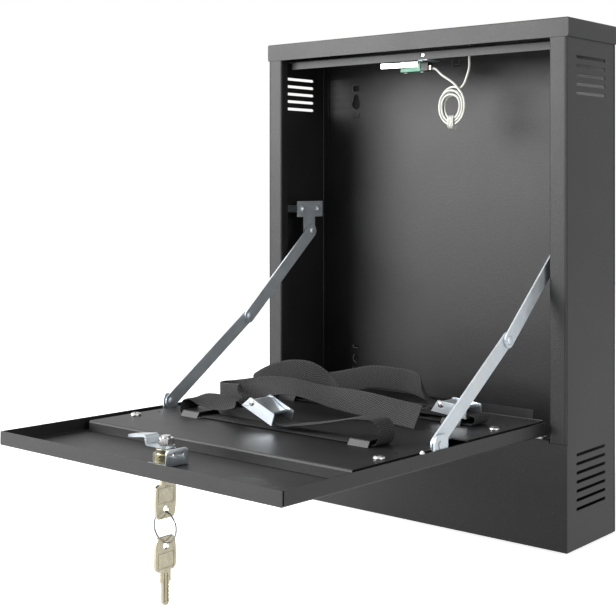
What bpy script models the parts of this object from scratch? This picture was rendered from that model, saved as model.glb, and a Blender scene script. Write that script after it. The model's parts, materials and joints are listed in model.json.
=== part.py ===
"""Wall cabinet for a video recorder: a sheet-steel box with a drop-down door, folding stays,
a strap tray on the door, a cam lock with two keys and a lock-operated tamper switch.

The design is written in the cabinet's own frame: x to the right seen from the front, y from the
front face into the box, z up from the underside. An empty shifts that frame, so that the world's
origin is the middle of the back face, which is the face that goes against the wall. +Z is up and
the front looks along -Y. The door is written in its own frame: x as above, u outwards from the
cabinet's front when the door is open, w up from the door's outer face. All lengths are metres.
"""

import math

import bmesh
import bpy
from mathutils import Matrix, Vector
from mathutils.geometry import delaunay_2d_cdt

# Sizes shared by many pieces
SHEET = 0.0012
BEND = 0.0008
SEAT_GAP = 0.0003
CUT_OVERRUN = 0.003
BEND_STEPS = 3

# Cabinet
CABINET_WIDTH = 0.400
CABINET_HEIGHT = 0.536
CABINET_DEPTH = 0.105
BORDER_WIDTH = 0.020
POST_RETURN_DEPTH = 0.012
SIDE_LIP_WIDTH = 0.0028
REAR_FLANGE_WIDTH = 0.010
COVER_LIP_HEIGHT = 0.0195
COVER_EDGE_RADIUS = 0.0016
LOWER_PANEL_HEIGHT = 0.1117
LOWER_PANEL_SHOULDER = 0.1077
LOWER_FLANGE_DEPTH = 0.009
FLOOR_FLANGE_HEIGHT = 0.010

# Ventilation slots in both side panels
SLOT_LENGTH = 0.063
SLOT_HEIGHT = 0.0033
SLOT_PITCH = 0.00915
SLOT_FRONT_INSET = 0.0196
UPPER_SLOT_COUNT = 5
UPPER_SLOT_TOP_INSET = 0.0385
LOWER_SLOT_COUNT = 7
LOWER_SLOT_TOP_HEIGHT = 0.0950

# Holes in the back panel, repeated left and right
WALL_HOLE_SPACING = 0.296
KEYHOLE_ROUND_DIAMETER = 0.014
KEYHOLE_NECK_WIDTH = 0.009
KEYHOLE_TOP_DROP = 0.068
KEYHOLE_NECK_RISE = 0.013
SQUARE_HOLE_WIDTH = 0.0106
SQUARE_HOLE_HEIGHT = 0.0076
SQUARE_HOLE_RISE = 0.0198
LANCE_WIDTH = 0.011
LANCE_HEIGHT = 0.007
LANCE_SLIT = 0.0016
UPPER_LANCE_DROP = 0.0135
LOWER_HOLE_DIAMETER = 0.010
LOWER_HOLE_HEIGHT = 0.1523
LOWER_SLOT_WIDTH = 0.0103
LOWER_SLOT_HEIGHT = 0.0032
LOWER_SLOT_RISE = 0.0148
LOWER_LANCE_DROP = 0.0145
TOP_LANCE_DROP = 0.0264

# Stop angle under the top, which the closed door's rim comes up to
STOP_ANGLE_SETBACK = 0.0145
STOP_LEG_HEIGHT = 0.010
STOP_LEG_END_GAP = 0.0042
STOP_FLANGE_DEPTH = 0.0175
STOP_TOP_DROP = 0.0005

# Piano hinge along the bottom of the opening
HINGE_STANDOFF = 0.002
HINGE_LEAF_THICKNESS = 0.0008
HINGE_LEAF_DEPTH = 0.0087
HINGE_LEAF_CLEARANCE = 0.0002
HINGE_PIN_RADIUS = 0.0010
HINGE_PIN_CLEARANCE = 0.00015
HINGE_KNUCKLE_RADIUS = 0.0020
HINGE_KNUCKLE_GAP = 0.0006
HINGE_KNUCKLE_COUNT = 13
HINGE_END_INSET = 0.004
HINGE_HEAD_LENGTH = 0.0010

# Door
DOOR_OPEN_TILT_DEG = 1.0
DOOR_SIDE_GAP = 0.0026
DOOR_TOP_GAP = 0.0015
DOOR_RIM_HEIGHT = 0.0133
DOOR_HINGE_RIM_HEIGHT = 0.009
DOOR_EDGE_RADIUS = 0.0016
DOOR_CORNER_SLIT = 0.0014

# Tray on the inside of the door
TRAY_SIDE_INSET = 0.0104
TRAY_TOP = 0.012
TRAY_FRONT_INSET = 0.099
TRAY_REAR_U = -0.010
TRAY_UPSTAND_HEIGHT = 0.010
TRAY_UPSTAND_INSET = 0.011
TRAY_SCREW_INSET = 0.011
TRAY_FRONT_SCREW_SHARE = 0.603
TRAY_REAR_SCREW_SHARE = 0.536
TRAY_SCREW_HEAD_RADIUS = 0.0057
TRAY_SCREW_HEAD_HEIGHT = 0.0030
TRAY_SCREW_RADIUS = 0.0020
TRAY_SCREW_REACH = 0.0075
TRAY_PILOT_SHARE = 0.62
TRAY_PILOT_OFFSET_X = 0.003
TRAY_PILOT_RADIUS = 0.0018
TRAY_POST_RADIUS = 0.0045
TRAY_NOTCH_DEPTH = 0.017
TRAY_NOTCH_FRONT_U = 0.174
TRAY_NOTCH_REAR_U = 0.130
FRONT_STRAP_SHARE = 0.6857
REAR_STRAP_SHARE = 0.2095
STRAP_BRIDGE_SHARE = 0.6527
STRAP_BRIDGE_LENGTH = 0.023
STRAP_BRIDGE_SPAN = 0.035
STRAP_BRIDGE_RISE = 0.006
STRAP_BRIDGE_LEG_RUN = 0.0034
STRAP_BRIDGE_SLIT = 0.0008

# Folding stays
STAY_PLATE = 0.0018
STAY_PLAY = 0.0003
STAY_WIDTH = 0.0155
STAY_LINK_LENGTH = 0.1465
STAY_CABINET_PIVOT_Y = 0.0456
STAY_CABINET_PIVOT_Z = 0.3120
STAY_DOOR_PIVOT_U = 0.1880
STAY_DOOR_PIVOT_W = 0.0172
RIVET_RADIUS = 0.0025
RIVET_CLEARANCE = 0.0003
RIVET_HEAD_RADIUS = 0.0047
RIVET_HEAD_HEIGHT = 0.0020
RIVET_SMALL_HEAD_RADIUS = 0.0034
RIVET_WASHER_RADIUS = 0.0050
BRACKET_BAR_FRONT_Y = 0.024
BRACKET_BAR_LENGTH = 0.046
BRACKET_BAR_BOTTOM_Z = 0.329
BRACKET_BAR_HEIGHT = 0.019
BRACKET_STEM_WIDTH = 0.020
BRACKET_POST_INSET = 0.0087
BRACKET_POST_RADIUS = 0.0045
BRACKET_RIVET_RADIUS = 0.0019
BRACKET_HEAD_RADIUS = 0.0042
BRACKET_HEAD_HEIGHT = 0.0024
TAB_FRONT_U = 0.197
TAB_LENGTH = 0.021
TAB_TOP_W = 0.026
TAB_CORNER_RADIUS = 0.006

# Cam lock in the door
LOCK_EDGE_INSET = 0.0465
LOCK_HEAD_RADIUS = 0.0135
LOCK_HEAD_HEIGHT = 0.0026
LOCK_BARREL_RADIUS = 0.0113
LOCK_BARREL_TOP_W = 0.0110
LOCK_GROOVE_RADIUS = 0.0102
LOCK_NECK_RADIUS = 0.0090
LOCK_NECK_TOP_W = 0.0152
LOCK_HOLE_CLEARANCE = 0.0004
PLUG_RADIUS = 0.0073
PLUG_CLEARANCE = 0.0003
PLUG_TAIL_RADIUS = 0.0039
PLUG_TAIL_TOP_W = 0.0262
KEYWAY_WIDTH = 0.0030
KEYWAY_HEIGHT = 0.0094
CAM_THICKNESS = 0.0020
CAM_WIDTH = 0.0160
CAM_CRANK_REACH = 0.0180
CAM_CRANK_SLANT = 0.0015
CAM_CRANK_RISE = 0.0072
CAM_LENGTH = 0.0460
CAM_TIP_DROOP = 0.0038
NUT_ACROSS_FLATS = 0.0130
NUT_HEIGHT = 0.0062
CLIP_THICKNESS = 0.0012
CLIP_HALF_WIDTH = 0.0135
CLIP_REACH = 0.0148
CLIP_WALL_TOP_W = 0.0165
CLIP_SLOT_CLEARANCE = 0.0003

# Keys and their ring
KEY_LENGTH = 0.060
KEY_BOW_LENGTH = 0.030
KEY_BOW_WIDTH = 0.0245
KEY_THICKNESS = 0.0024
KEY_NECK_LENGTH = 0.010
KEY_NECK_WIDTH = 0.0115
KEY_BLADE_WIDTH = 0.0085
KEY_HOLE_RADIUS = 0.0033
KEY_HOLE_INSET = 0.0080
KEY_BOW_TOP_DROP = 0.0165
KEY_RING_RADIUS = 0.0138
KEY_RING_WIRE = 0.0008
KEY_BOW_WIDTH_SHARES = ((0.0, 0.33), (0.05, 0.41), (0.14, 0.455), (0.34, 0.49), (0.60, 0.50),
                        (0.84, 0.50), (0.93, 0.475), (1.0, 0.37))
KEY_CUT_SHARES = (0.16, 0.34, 0.52, 0.70)
KEY_CUT_DEPTH = 0.0013

# Tamper switch behind the stop angle
SWITCH_LEFT_X = -0.0250
SWITCH_LENGTH = 0.0278
SWITCH_FRONT_Y = 0.0278
SWITCH_DEPTH = 0.0159
SWITCH_HEIGHT = 0.0103
SWITCH_TOP_DROP = 0.0307
SWITCH_EDGE = 0.0006
SWITCH_HOLE_SPACING_SHARE = 0.80
SWITCH_SCREW_RADIUS = 0.0014
SWITCH_SCREW_HEAD_RADIUS = 0.0026
SWITCH_SCREW_HEAD_HEIGHT = 0.0014
SWITCH_PLATE = 0.0010
LEVER_LENGTH = 0.0480
LEVER_WIDTH = 0.0054
LEVER_THICKNESS = 0.0005
LEVER_SETBACK = 0.0009
LEVER_REST_DEG = 7.0
LEVER_FOOT_LENGTH = 0.0030
TERMINAL_LENGTH = 0.0090
TERMINAL_DEPTH = 0.0090
TERMINAL_HEIGHT = 0.0098
BRACKET_TONGUE_X = 0.0080
BRACKET_TONGUE_WIDTH = 0.0120
HOOK_SLOT_X = 0.0112
HOOK_SLOT_WIDTH = 0.0058
HOOK_SLOT_HEIGHT = 0.0030
HOOK_SLOT_DROP = 0.0036

# Tamper switch lead, tied up in a coil
LEAD_DIAMETER = 0.0025
LEAD_Y = 0.0335
COIL_CENTRE_X = 0.0400
COIL_TOP_DROP = 0.0815
COIL_HALF_WIDTH = 0.0178
COIL_HALF_HEIGHT = 0.0215
COIL_PITCH = 0.0031
COIL_LAYER_STEP = 0.0032
COIL_TURNS = 4.94
COIL_CLIMB_TURNS = 0.5
COIL_START_DEG = 55.0
COIL_POINTS_PER_TURN = 24
COIL_CROWN_SHARE = 0.45
TIE_THICKNESS = 0.0010
TIE_WIDTH = 0.0045
GROMMET_X = 0.0700
GROMMET_RADIUS = 0.0036
GROMMET_FLANGE = 0.0012
GROMMET_GROOVE_RADIUS = 0.0028
LEAD_POINTS = 22

# Bumper on the door's right rim
BUMPER_U = 0.217
BUMPER_RADIUS = 0.0022
BUMPER_HEIGHT = 0.0028

# Strap webbing and its cam buckles
WEBBING_WIDTH = 0.025
WEBBING_THICKNESS = 0.0016
WEBBING_TURN_LIMIT_DEG = 15.0
WEBBING_LONGEST_STEP = 0.030
BUCKLE_LENGTH = 0.042
BUCKLE_CHEEK_HEIGHT = 0.012
BUCKLE_CHEEK_SLANT = 0.0065
BUCKLE_PLATE = 0.0016
BUCKLE_SIDE_GAP = 0.0006
BUCKLE_BAR_WIDTH = 0.0035
BUCKLE_SLOT_WIDTH = 0.0060
BUCKLE_PIN_INSET = 0.0110
BUCKLE_PIN_HEIGHT = 0.0080
BUCKLE_PIN_RADIUS = 0.0018
BUCKLE_PIN_HEAD_RADIUS = 0.0030
BUCKLE_PIN_HEAD_HEIGHT = 0.0011
BUCKLE_CAM_RADIUS = 0.0034
BUCKLE_LEVER_REACH = 0.0260
BUCKLE_LEVER_THICKNESS = 0.0016
BUCKLE_LEVER_DROP = 0.0030
BUCKLE_LIP_HEIGHT = 0.0030

# Where the buckles lie, and the straps' runs that hang free. In each row x is a share of the
# tray's half width, u a share of the tray's length counted from the strap's line, and w a share
# of the webbing's width counted from the tray's top; last comes the lean from flat in degrees.
FRONT_BUCKLE_SHARES = (-0.0868, 0.0111, 0.540)
FRONT_BUCKLE_TILT_DEG = 22.0
REAR_BUCKLE_SHARES = (0.6228, -0.0063, 0.352)
REAR_BUCKLE_TILT_DEG = 5.0
FRONT_LEFT_SHARES = ((-0.2754, 0.0079, 0.760, -4), (-0.3473, -0.0032, 0.620, -12),
                     (-0.4311, -0.0159, 0.560, -20), (-0.5389, -0.0238, 0.572, -28),
                     (-0.6347, -0.0222, 0.620, -24), (-0.7066, -0.0175, 0.656, -10))
FRONT_RIGHT_SHARES = ((0.6587, 0.0000, 0.944, 0), (0.5868, 0.0000, 0.896, 0),
                      (0.4910, 0.0000, 0.740, 0), (0.3832, 0.0010, 0.572, 0),
                      (0.2754, 0.0025, 0.424, 0), (0.1796, 0.0057, 0.316, 0),
                      (0.1018, 0.0095, 0.248, 0))
FRONT_TAIL_SHARES = ((-0.2575, 0.0016, 1.112, 30), (-0.3114, -0.0190, 1.052, 62),
                     (-0.4072, -0.0540, 0.904, 78), (-0.5150, -0.0857, 0.784, 84),
                     (-0.6347, -0.1206, 0.680, 86), (-0.7485, -0.1508, 0.580, 88),
                     (-0.8114, -0.1810, 0.540, 90), (-0.8204, -0.2048, 0.540, 90),
                     (-0.7844, -0.2238, 0.560, 90), (-0.6946, -0.2381, 0.660, 96),
                     (-0.5509, -0.2492, 0.880, 114), (-0.4072, -0.2587, 1.024, 140),
                     (-0.2635, -0.2635, 1.016, 150), (-0.1437, -0.2683, 0.920, 148),
                     (-0.0240, -0.2730, 0.824, 134), (0.0898, -0.2778, 0.760, 120),
                     (0.2515, -0.2794, 0.692, 109), (0.4072, -0.2794, 0.600, 112),
                     (0.5269, -0.2794, 0.536, 116), (0.6168, -0.2762, 0.496, 118))
REAR_LEFT_SHARES = ((0.3832, -0.0032, 0.320, 0), (0.2515, 0.0000, 0.248, 0),
                    (0.0599, 0.0000, 0.224, 0), (-0.1796, 0.0000, 0.224, 0),
                    (-0.4192, 0.0000, 0.300, 0), (-0.5988, 0.0000, 0.460, 0),
                    (-0.6826, 0.0000, 0.544, 0))
REAR_TAIL_SHARES = ((0.4072, -0.0159, 0.820, 32), (0.3413, -0.0413, 1.000, 62),
                    (0.2635, -0.0730, 1.100, 84), (0.1557, -0.1016, 1.160, 90),
                    (0.0000, -0.1111, 1.192, 90), (-0.1677, -0.1143, 1.152, 90),
                    (-0.3353, -0.1143, 0.900, 90), (-0.5090, -0.1143, 0.640, 90),
                    (-0.6467, -0.1016, 0.544, 90), (-0.7784, -0.0698, 0.540, 90),
                    (-0.8563, -0.0127, 0.540, 90), (-0.8802, 0.0444, 0.540, 90),
                    (-0.8563, 0.1016, 0.560, 90), (-0.7964, 0.1333, 0.660, 88),
                    (-0.7186, 0.1476, 0.880, 85), (-0.6228, 0.1508, 1.180, 82),
                    (-0.5090, 0.1508, 1.452, 82), (-0.3952, 0.1508, 1.580, 82),
                    (-0.2934, 0.1460, 1.560, 82), (-0.2216, 0.1397, 1.360, 82),
                    (-0.1617, 0.1333, 1.040, 82), (-0.1078, 0.1302, 0.700, 82))

# Bends where a strap leaves a bridge: how far out its centre is, how far it bulges beyond that
# and its height, as shares of the webbing's width, and its upper end's shift in u as a share of
# the tray's length.
FRONT_LEFT_BEND_SHARES = (0.06, 0.22, 0.58, -0.0127)
FRONT_RIGHT_BEND_SHARES = (0.04, 0.31, 0.88, 0.0)
REAR_LEFT_BEND_SHARES = (0.06, 0.32, 0.52, 0.0)
REAR_RIGHT_BEND_SHARES = (0.34, 0.20, 0.355, -0.0063)
BEND_TURNS_DEG = (-90.0, -60.0, -25.0, 10.0, 42.0, 72.0)

# Places that follow from the sizes above
SIDE_X = CABINET_WIDTH / 2
OPENING_X = SIDE_X - BORDER_WIDTH
OPENING_TOP = CABINET_HEIGHT - COVER_LIP_HEIGHT
WALL_INNER_X = SIDE_X - SHEET
BACK_INNER_Y = CABINET_DEPTH - SHEET
STOP_TOP_Z = OPENING_TOP - STOP_TOP_DROP
HINGE_Y = -HINGE_STANDOFF
HINGE_Z = LOWER_PANEL_HEIGHT + SEAT_GAP + HINGE_LEAF_THICKNESS + HINGE_LEAF_CLEARANCE
HINGE_U = HINGE_STANDOFF
HINGE_W = -HINGE_STANDOFF
DOOR_HALF_WIDTH = OPENING_X - DOOR_SIDE_GAP
DOOR_END_U = HINGE_U + HINGE_LEAF_CLEARANCE + HINGE_LEAF_THICKNESS + SEAT_GAP
DOOR_FREE_U = OPENING_TOP - DOOR_TOP_GAP - HINGE_Z + HINGE_U
RIM_INNER_X = DOOR_HALF_WIDTH - SHEET
LOCK_U = DOOR_FREE_U - LOCK_EDGE_INSET
TRAY_HALF_WIDTH = DOOR_HALF_WIDTH - TRAY_SIDE_INSET
TRAY_FRONT_U = DOOR_FREE_U - TRAY_FRONT_INSET
TRAY_LENGTH = TRAY_FRONT_U - TRAY_REAR_U
TRAY_SCREW_FRONT_U = (TRAY_NOTCH_FRONT_U
                      + TRAY_FRONT_SCREW_SHARE * (TRAY_FRONT_U - TRAY_NOTCH_FRONT_U))
TRAY_SCREW_REAR_U = TRAY_REAR_U + TRAY_REAR_SCREW_SHARE * (TRAY_NOTCH_REAR_U - TRAY_REAR_U)
FRONT_STRAP_U = TRAY_REAR_U + FRONT_STRAP_SHARE * TRAY_LENGTH
REAR_STRAP_U = TRAY_REAR_U + REAR_STRAP_SHARE * TRAY_LENGTH
STRAP_BRIDGE_X = STRAP_BRIDGE_SHARE * TRAY_HALF_WIDTH
SWITCH_TOP_Z = CABINET_HEIGHT - SWITCH_TOP_DROP
COIL_CENTRE_Z = CABINET_HEIGHT - COIL_TOP_DROP
KEYHOLE_CENTRE_HEIGHT = CABINET_HEIGHT - KEYHOLE_TOP_DROP
STAY_LAYER_PITCH = STAY_PLATE + STAY_PLAY
STAY_OUTER_X = RIM_INNER_X - SEAT_GAP
TILT = math.radians(DOOR_OPEN_TILT_DEG)

MATERIALS = {}
GROUPS = {}


def material(name, colour, roughness, metallic=0.0):
    """Returns the named Principled material, made on first use."""
    if name not in MATERIALS:
        made = bpy.data.materials.new(name)
        made.use_nodes = True
        shader = made.node_tree.nodes["Principled BSDF"]
        shader.inputs["Base Color"].default_value = (*colour, 1.0)
        shader.inputs["Roughness"].default_value = roughness
        shader.inputs["Metallic"].default_value = metallic
        made.diffuse_color = (*colour, 1.0)
        MATERIALS[name] = made
    return MATERIALS[name]


def black_paint():
    return material("black_powder_coat", (0.035, 0.036, 0.038), 0.50)


def zinc():
    return material("zinc_plated_steel", (0.62, 0.66, 0.70), 0.34, 1.0)


def bright_steel():
    return material("bright_steel", (0.72, 0.72, 0.71), 0.22, 1.0)


def nickel_silver():
    return material("nickel_silver", (0.66, 0.62, 0.50), 0.30, 1.0)


def brass():
    return material("brass_barrel", (0.62, 0.55, 0.36), 0.32, 1.0)


def webbing():
    return material("black_webbing", (0.018, 0.018, 0.020), 0.85)


def group(name, parent=None, location=(0, 0, 0), turn_x=0.0, turn_z=0.0):
    """Adds an empty that carries pieces, on the joint axis of those that move."""
    empty = bpy.data.objects.new(name, None)
    bpy.context.scene.collection.objects.link(empty)
    empty.parent = parent
    empty.location = location
    empty.rotation_euler = (turn_x, 0.0, turn_z)
    GROUPS[name] = empty
    return empty


def identity(x, y, z):
    return Vector((x, y, z))


def door_place(x, u, w):
    """Door coordinates to the local coordinates of the hinge axis's empty."""
    return Vector((x, HINGE_U - u, w - HINGE_W))


def lock_place(x, u, w):
    """Door coordinates to the local coordinates of the lock axis's empty."""
    return Vector((x, LOCK_U - u, w))


def spread(axis, first, second, along):
    """Puts an outline's two coordinates and a length along an axis in x, y, z order."""
    if axis == "x":
        return along, first, second
    if axis == "y":
        return first, along, second
    return first, second, along


def finish(name, bm, look, parent, smooth=True):
    """Turns a bmesh into a named object with its material, all faces outwards."""
    bmesh.ops.recalc_face_normals(bm, faces=bm.faces)
    mesh = bpy.data.meshes.new(name)
    bm.to_mesh(mesh)
    bm.free()
    mesh.materials.append(look)
    if smooth:
        mesh.shade_smooth()
        mesh.set_sharp_from_angle(angle=math.radians(32))
    thing = bpy.data.objects.new(name, mesh)
    bpy.context.scene.collection.objects.link(thing)
    thing.parent = parent
    return thing


def shared_mesh(name, bm, look):
    """A mesh that several objects use."""
    bmesh.ops.recalc_face_normals(bm, faces=bm.faces)
    mesh = bpy.data.meshes.new(name)
    bm.to_mesh(mesh)
    bm.free()
    mesh.materials.append(look)
    mesh.shade_smooth()
    mesh.set_sharp_from_angle(angle=math.radians(32))
    return mesh


def add_copy(name, mesh, parent, location, turn_x=0.0, turn_z=0.0):
    thing = bpy.data.objects.new(name, mesh)
    bpy.context.scene.collection.objects.link(thing)
    thing.parent = parent
    thing.location = location
    thing.rotation_euler = (turn_x, 0.0, turn_z)
    return thing


def boolean(target, tool_bm, operation, name):
    """Cuts, joins or trims a piece with a second mesh, which stays as a hidden guide."""
    bmesh.ops.recalc_face_normals(tool_bm, faces=tool_bm.faces)
    mesh = bpy.data.meshes.new(name)
    tool_bm.to_mesh(mesh)
    tool_bm.free()
    tool = bpy.data.objects.new(name, mesh)
    bpy.context.scene.collection.objects.link(tool)
    tool.parent = target.parent
    tool.hide_render = True
    tool.display_type = "WIRE"
    step = target.modifiers.new(name, "BOOLEAN")
    step.operation = operation
    step.object = tool
    return target


def cut(target, tool_bm, name):
    return boolean(target, tool_bm, "DIFFERENCE", name)


def encloses(loop, point):
    """Whether an outline goes round a point."""
    inside = False
    for (ax, ay), (bx, by) in zip(loop, loop[1:] + loop[:1]):
        if (ay > point.y) != (by > point.y):
            if point.x < ax + (bx - ax) * (point.y - ay) / (by - ay):
                inside = not inside
    return inside


def extrude(bm, loops, axis, low, high, place=identity):
    """Extrudes an outline, with any holes after it in the list, into a closed solid."""
    corners = [Vector(corner) for loop in loops for corner in loop]
    ends = []
    for level in (low, high):
        ends.append([bm.verts.new(place(*spread(axis, a, b, level))) for a, b in corners])
    edges = []
    for loop in loops:
        start = len(edges)
        edges += [(start + i, start + (i + 1) % len(loop)) for i in range(len(loop))]
    filled = delaunay_2d_cdt(corners, edges, [], 1, 1e-7)
    for triangle in filled[2]:
        picked = [filled[3][i][0] for i in triangle]
        middle = sum((corners[i] for i in picked), Vector((0.0, 0.0))) / 3
        if any(encloses(hole, middle) for hole in loops[1:]):
            continue
        for end in ends:
            bm.faces.new([end[i] for i in picked])
    for here, after in edges:
        bm.faces.new((ends[0][here], ends[0][after], ends[1][after], ends[1][here]))


def box(bm, x_range, y_range, z_range, place=identity):
    (x0, x1), (y0, y1) = x_range, y_range
    extrude(bm, [[(x0, y0), (x1, y0), (x1, y1), (x0, y1)]], "z", z_range[0], z_range[1], place)


def arc(centre, radius, start_deg, end_deg, steps):
    """Points along an arc, ends included."""
    points = []
    for i in range(steps + 1):
        angle = math.radians(start_deg + (end_deg - start_deg) * i / steps)
        points.append((centre[0] + radius * math.cos(angle), centre[1] + radius * math.sin(angle)))
    return points


def circle(centre, radius, steps=16):
    return arc(centre, radius, 0, 360 - 360 / steps, steps - 1)


def stadium(first_centre, second_centre, radius, steps=6):
    """A strip's outline with round ends about two centres."""
    dx = second_centre[0] - first_centre[0]
    dy = second_centre[1] - first_centre[1]
    heading = math.degrees(math.atan2(dy, dx))
    return (arc(second_centre, radius, heading - 90, heading + 90, steps)
            + arc(first_centre, radius, heading + 90, heading + 270, steps))


def rectangle(x0, x1, y0, y1):
    return [(x0, y0), (x1, y0), (x1, y1), (x0, y1)]


def rounded_rectangle(x0, x1, y0, y1, radius, steps=3):
    return (arc((x1 - radius, y0 + radius), radius, 270, 360, steps)
            + arc((x1 - radius, y1 - radius), radius, 0, 90, steps)
            + arc((x0 + radius, y1 - radius), radius, 90, 180, steps)
            + arc((x0 + radius, y0 + radius), radius, 180, 270, steps))


def sheet_section(path, thickness=SHEET, bend=BEND, steps=BEND_STEPS):
    """Outline of folded sheet: it lies to the left of the path, with round bends."""
    near = []
    far = []
    for i, point in enumerate(path):
        corner = Vector(point)
        if i in (0, len(path) - 1):
            other = Vector(path[1]) if i == 0 else Vector(path[-2])
            heading = (other - corner).normalized() if i == 0 else (corner - other).normalized()
            left = Vector((-heading.y, heading.x))
            near.append(tuple(corner))
            far.append(tuple(corner + left * thickness))
            continue
        before = (corner - Vector(path[i - 1])).normalized()
        after = (Vector(path[i + 1]) - corner).normalized()
        turn = math.atan2(before.x * after.y - before.y * after.x, before.dot(after))
        side = 1.0 if turn > 0 else -1.0
        near_radius = bend + thickness if turn > 0 else bend
        far_radius = bend if turn > 0 else bend + thickness
        left = Vector((-before.y, before.x))
        setback = near_radius * math.tan(abs(turn) / 2)
        centre = corner - before * setback + left * (side * near_radius)
        spoke = -left * side
        for step in range(steps + 1):
            spin = turn * step / steps
            ray = Vector((spoke.x * math.cos(spin) - spoke.y * math.sin(spin),
                          spoke.x * math.sin(spin) + spoke.y * math.cos(spin)))
            near.append(tuple(centre + ray * near_radius))
            far.append(tuple(centre + ray * far_radius))
    return near + far[::-1]


def turned(bm, profile, axis, centre, steps=20, place=identity, closed=False):
    """Revolves (along, radius) pairs about an axis. A closed profile makes a ring."""
    rings = []
    for along, radius in profile:
        if radius == 0:
            rings.append([bm.verts.new(place(*spread(axis, centre[0], centre[1], along)))])
            continue
        ring = []
        for a, b in circle(centre, radius, steps):
            ring.append(bm.verts.new(place(*spread(axis, a, b, along))))
        rings.append(ring)
    pairs = list(zip(rings, rings[1:]))
    if closed:
        pairs.append((rings[-1], rings[0]))
    for lower, upper in pairs:
        for i in range(steps):
            j = (i + 1) % steps
            if len(lower) == 1:
                bm.faces.new((lower[0], upper[j], upper[i]))
            elif len(upper) == 1:
                bm.faces.new((lower[i], lower[j], upper[0]))
            else:
                bm.faces.new((lower[i], lower[j], upper[j], upper[i]))


def rod(bm, axis, centre, low, high, radius, steps=16, place=identity):
    turned(bm, [(low, 0), (low, radius), (high, radius), (high, 0)], axis, centre, steps, place)


def domed_head(base, top, radius, root_radius, steps=4):
    """Profile of a domed head that rises from its base to its top over a thinner shank."""
    rise = top - base
    points = [(base, root_radius), (base, radius)]
    for step in range(1, steps):
        angle = math.pi / 2 * step / steps
        points.append((base + rise * math.sin(angle), radius * math.cos(angle)))
    points.append((top, 0))
    return points


def loft(bm, levels, x_range, y_range, place=identity):
    """A block from stacked rectangles, each (level, left, right, front, back insets)."""
    rings = []
    for level, left, right, front, back in levels:
        outline = rectangle(x_range[0] + left, x_range[1] - right,
                            y_range[0] + front, y_range[1] - back)
        rings.append([bm.verts.new(place(a, b, level)) for a, b in outline])
    for lower, upper in zip(rings, rings[1:]):
        for i in range(4):
            j = (i + 1) % 4
            bm.faces.new((lower[i], lower[j], upper[j], upper[i]))
    bm.faces.new(rings[0])
    bm.faces.new(rings[-1])


def edge_levels(start, end, radius, steps, sides):
    """Loft levels with a round edge at the start, on the sides whose share is 1."""
    levels = []
    sign = 1.0 if end > start else -1.0
    for step in range(steps + 1):
        angle = math.pi / 2 * step / steps
        inset = radius * (1 - math.sin(angle))
        level = start + sign * radius * (1 - math.cos(angle))
        levels.append((level, *(inset * side for side in sides)))
    levels.append((end, 0.0, 0.0, 0.0, 0.0))
    return levels


def flowing(points, steps=16):
    """Closely spaced points on a smooth curve through the given ones, which may lie unevenly."""
    knots = [Vector(point) for point in points]
    spans = [(b - a).length for a, b in zip(knots, knots[1:])]
    slopes = [(b - a) / span for a, b, span in zip(knots, knots[1:], spans)]
    rates = [slopes[0]]
    for before, after, first, second in zip(spans, spans[1:], slopes, slopes[1:]):
        rates.append((first * after + second * before) / (before + after))
    rates.append(slopes[-1])
    fine = []
    for a, b, start, end, span in zip(knots, knots[1:], rates, rates[1:], spans):
        for step in range(steps):
            t = step / steps
            fine.append(a * (2 * t ** 3 - 3 * t ** 2 + 1) + start * (span * (t - 1) ** 2 * t)
                        + b * (3 * t ** 2 - 2 * t ** 3) + end * (span * (t - 1) * t ** 2))
    fine.append(knots[-1])
    return fine


def smooth_route(points, count):
    """Reads evenly spaced points from a smooth curve through the given ones."""
    fine = flowing(points)
    walked = [0.0]
    for a, b in zip(fine, fine[1:]):
        walked.append(walked[-1] + (b - a).length)
    even = []
    j = 0
    for i in range(count):
        want = walked[-1] * i / (count - 1)
        while j < len(walked) - 2 and walked[j + 1] < want:
            j += 1
        share = (want - walked[j]) / (walked[j + 1] - walked[j])
        even.append(fine[j].lerp(fine[j + 1], share))
    return even


def tube(name, points, radius, look, parent, resolution=2):
    """A round cord along the points, as a curve with filled ends."""
    curve = bpy.data.curves.new(name, "CURVE")
    curve.dimensions = "3D"
    curve.bevel_depth = radius
    curve.bevel_resolution = resolution
    curve.use_fill_caps = True
    run = curve.splines.new("POLY")
    run.points.add(len(points) - 1)
    for spot, point in zip(run.points, points):
        spot.co = (*point, 1.0)
    curve.materials.append(look)
    thing = bpy.data.objects.new(name, curve)
    bpy.context.scene.collection.objects.link(thing)
    thing.parent = parent
    return thing


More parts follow.
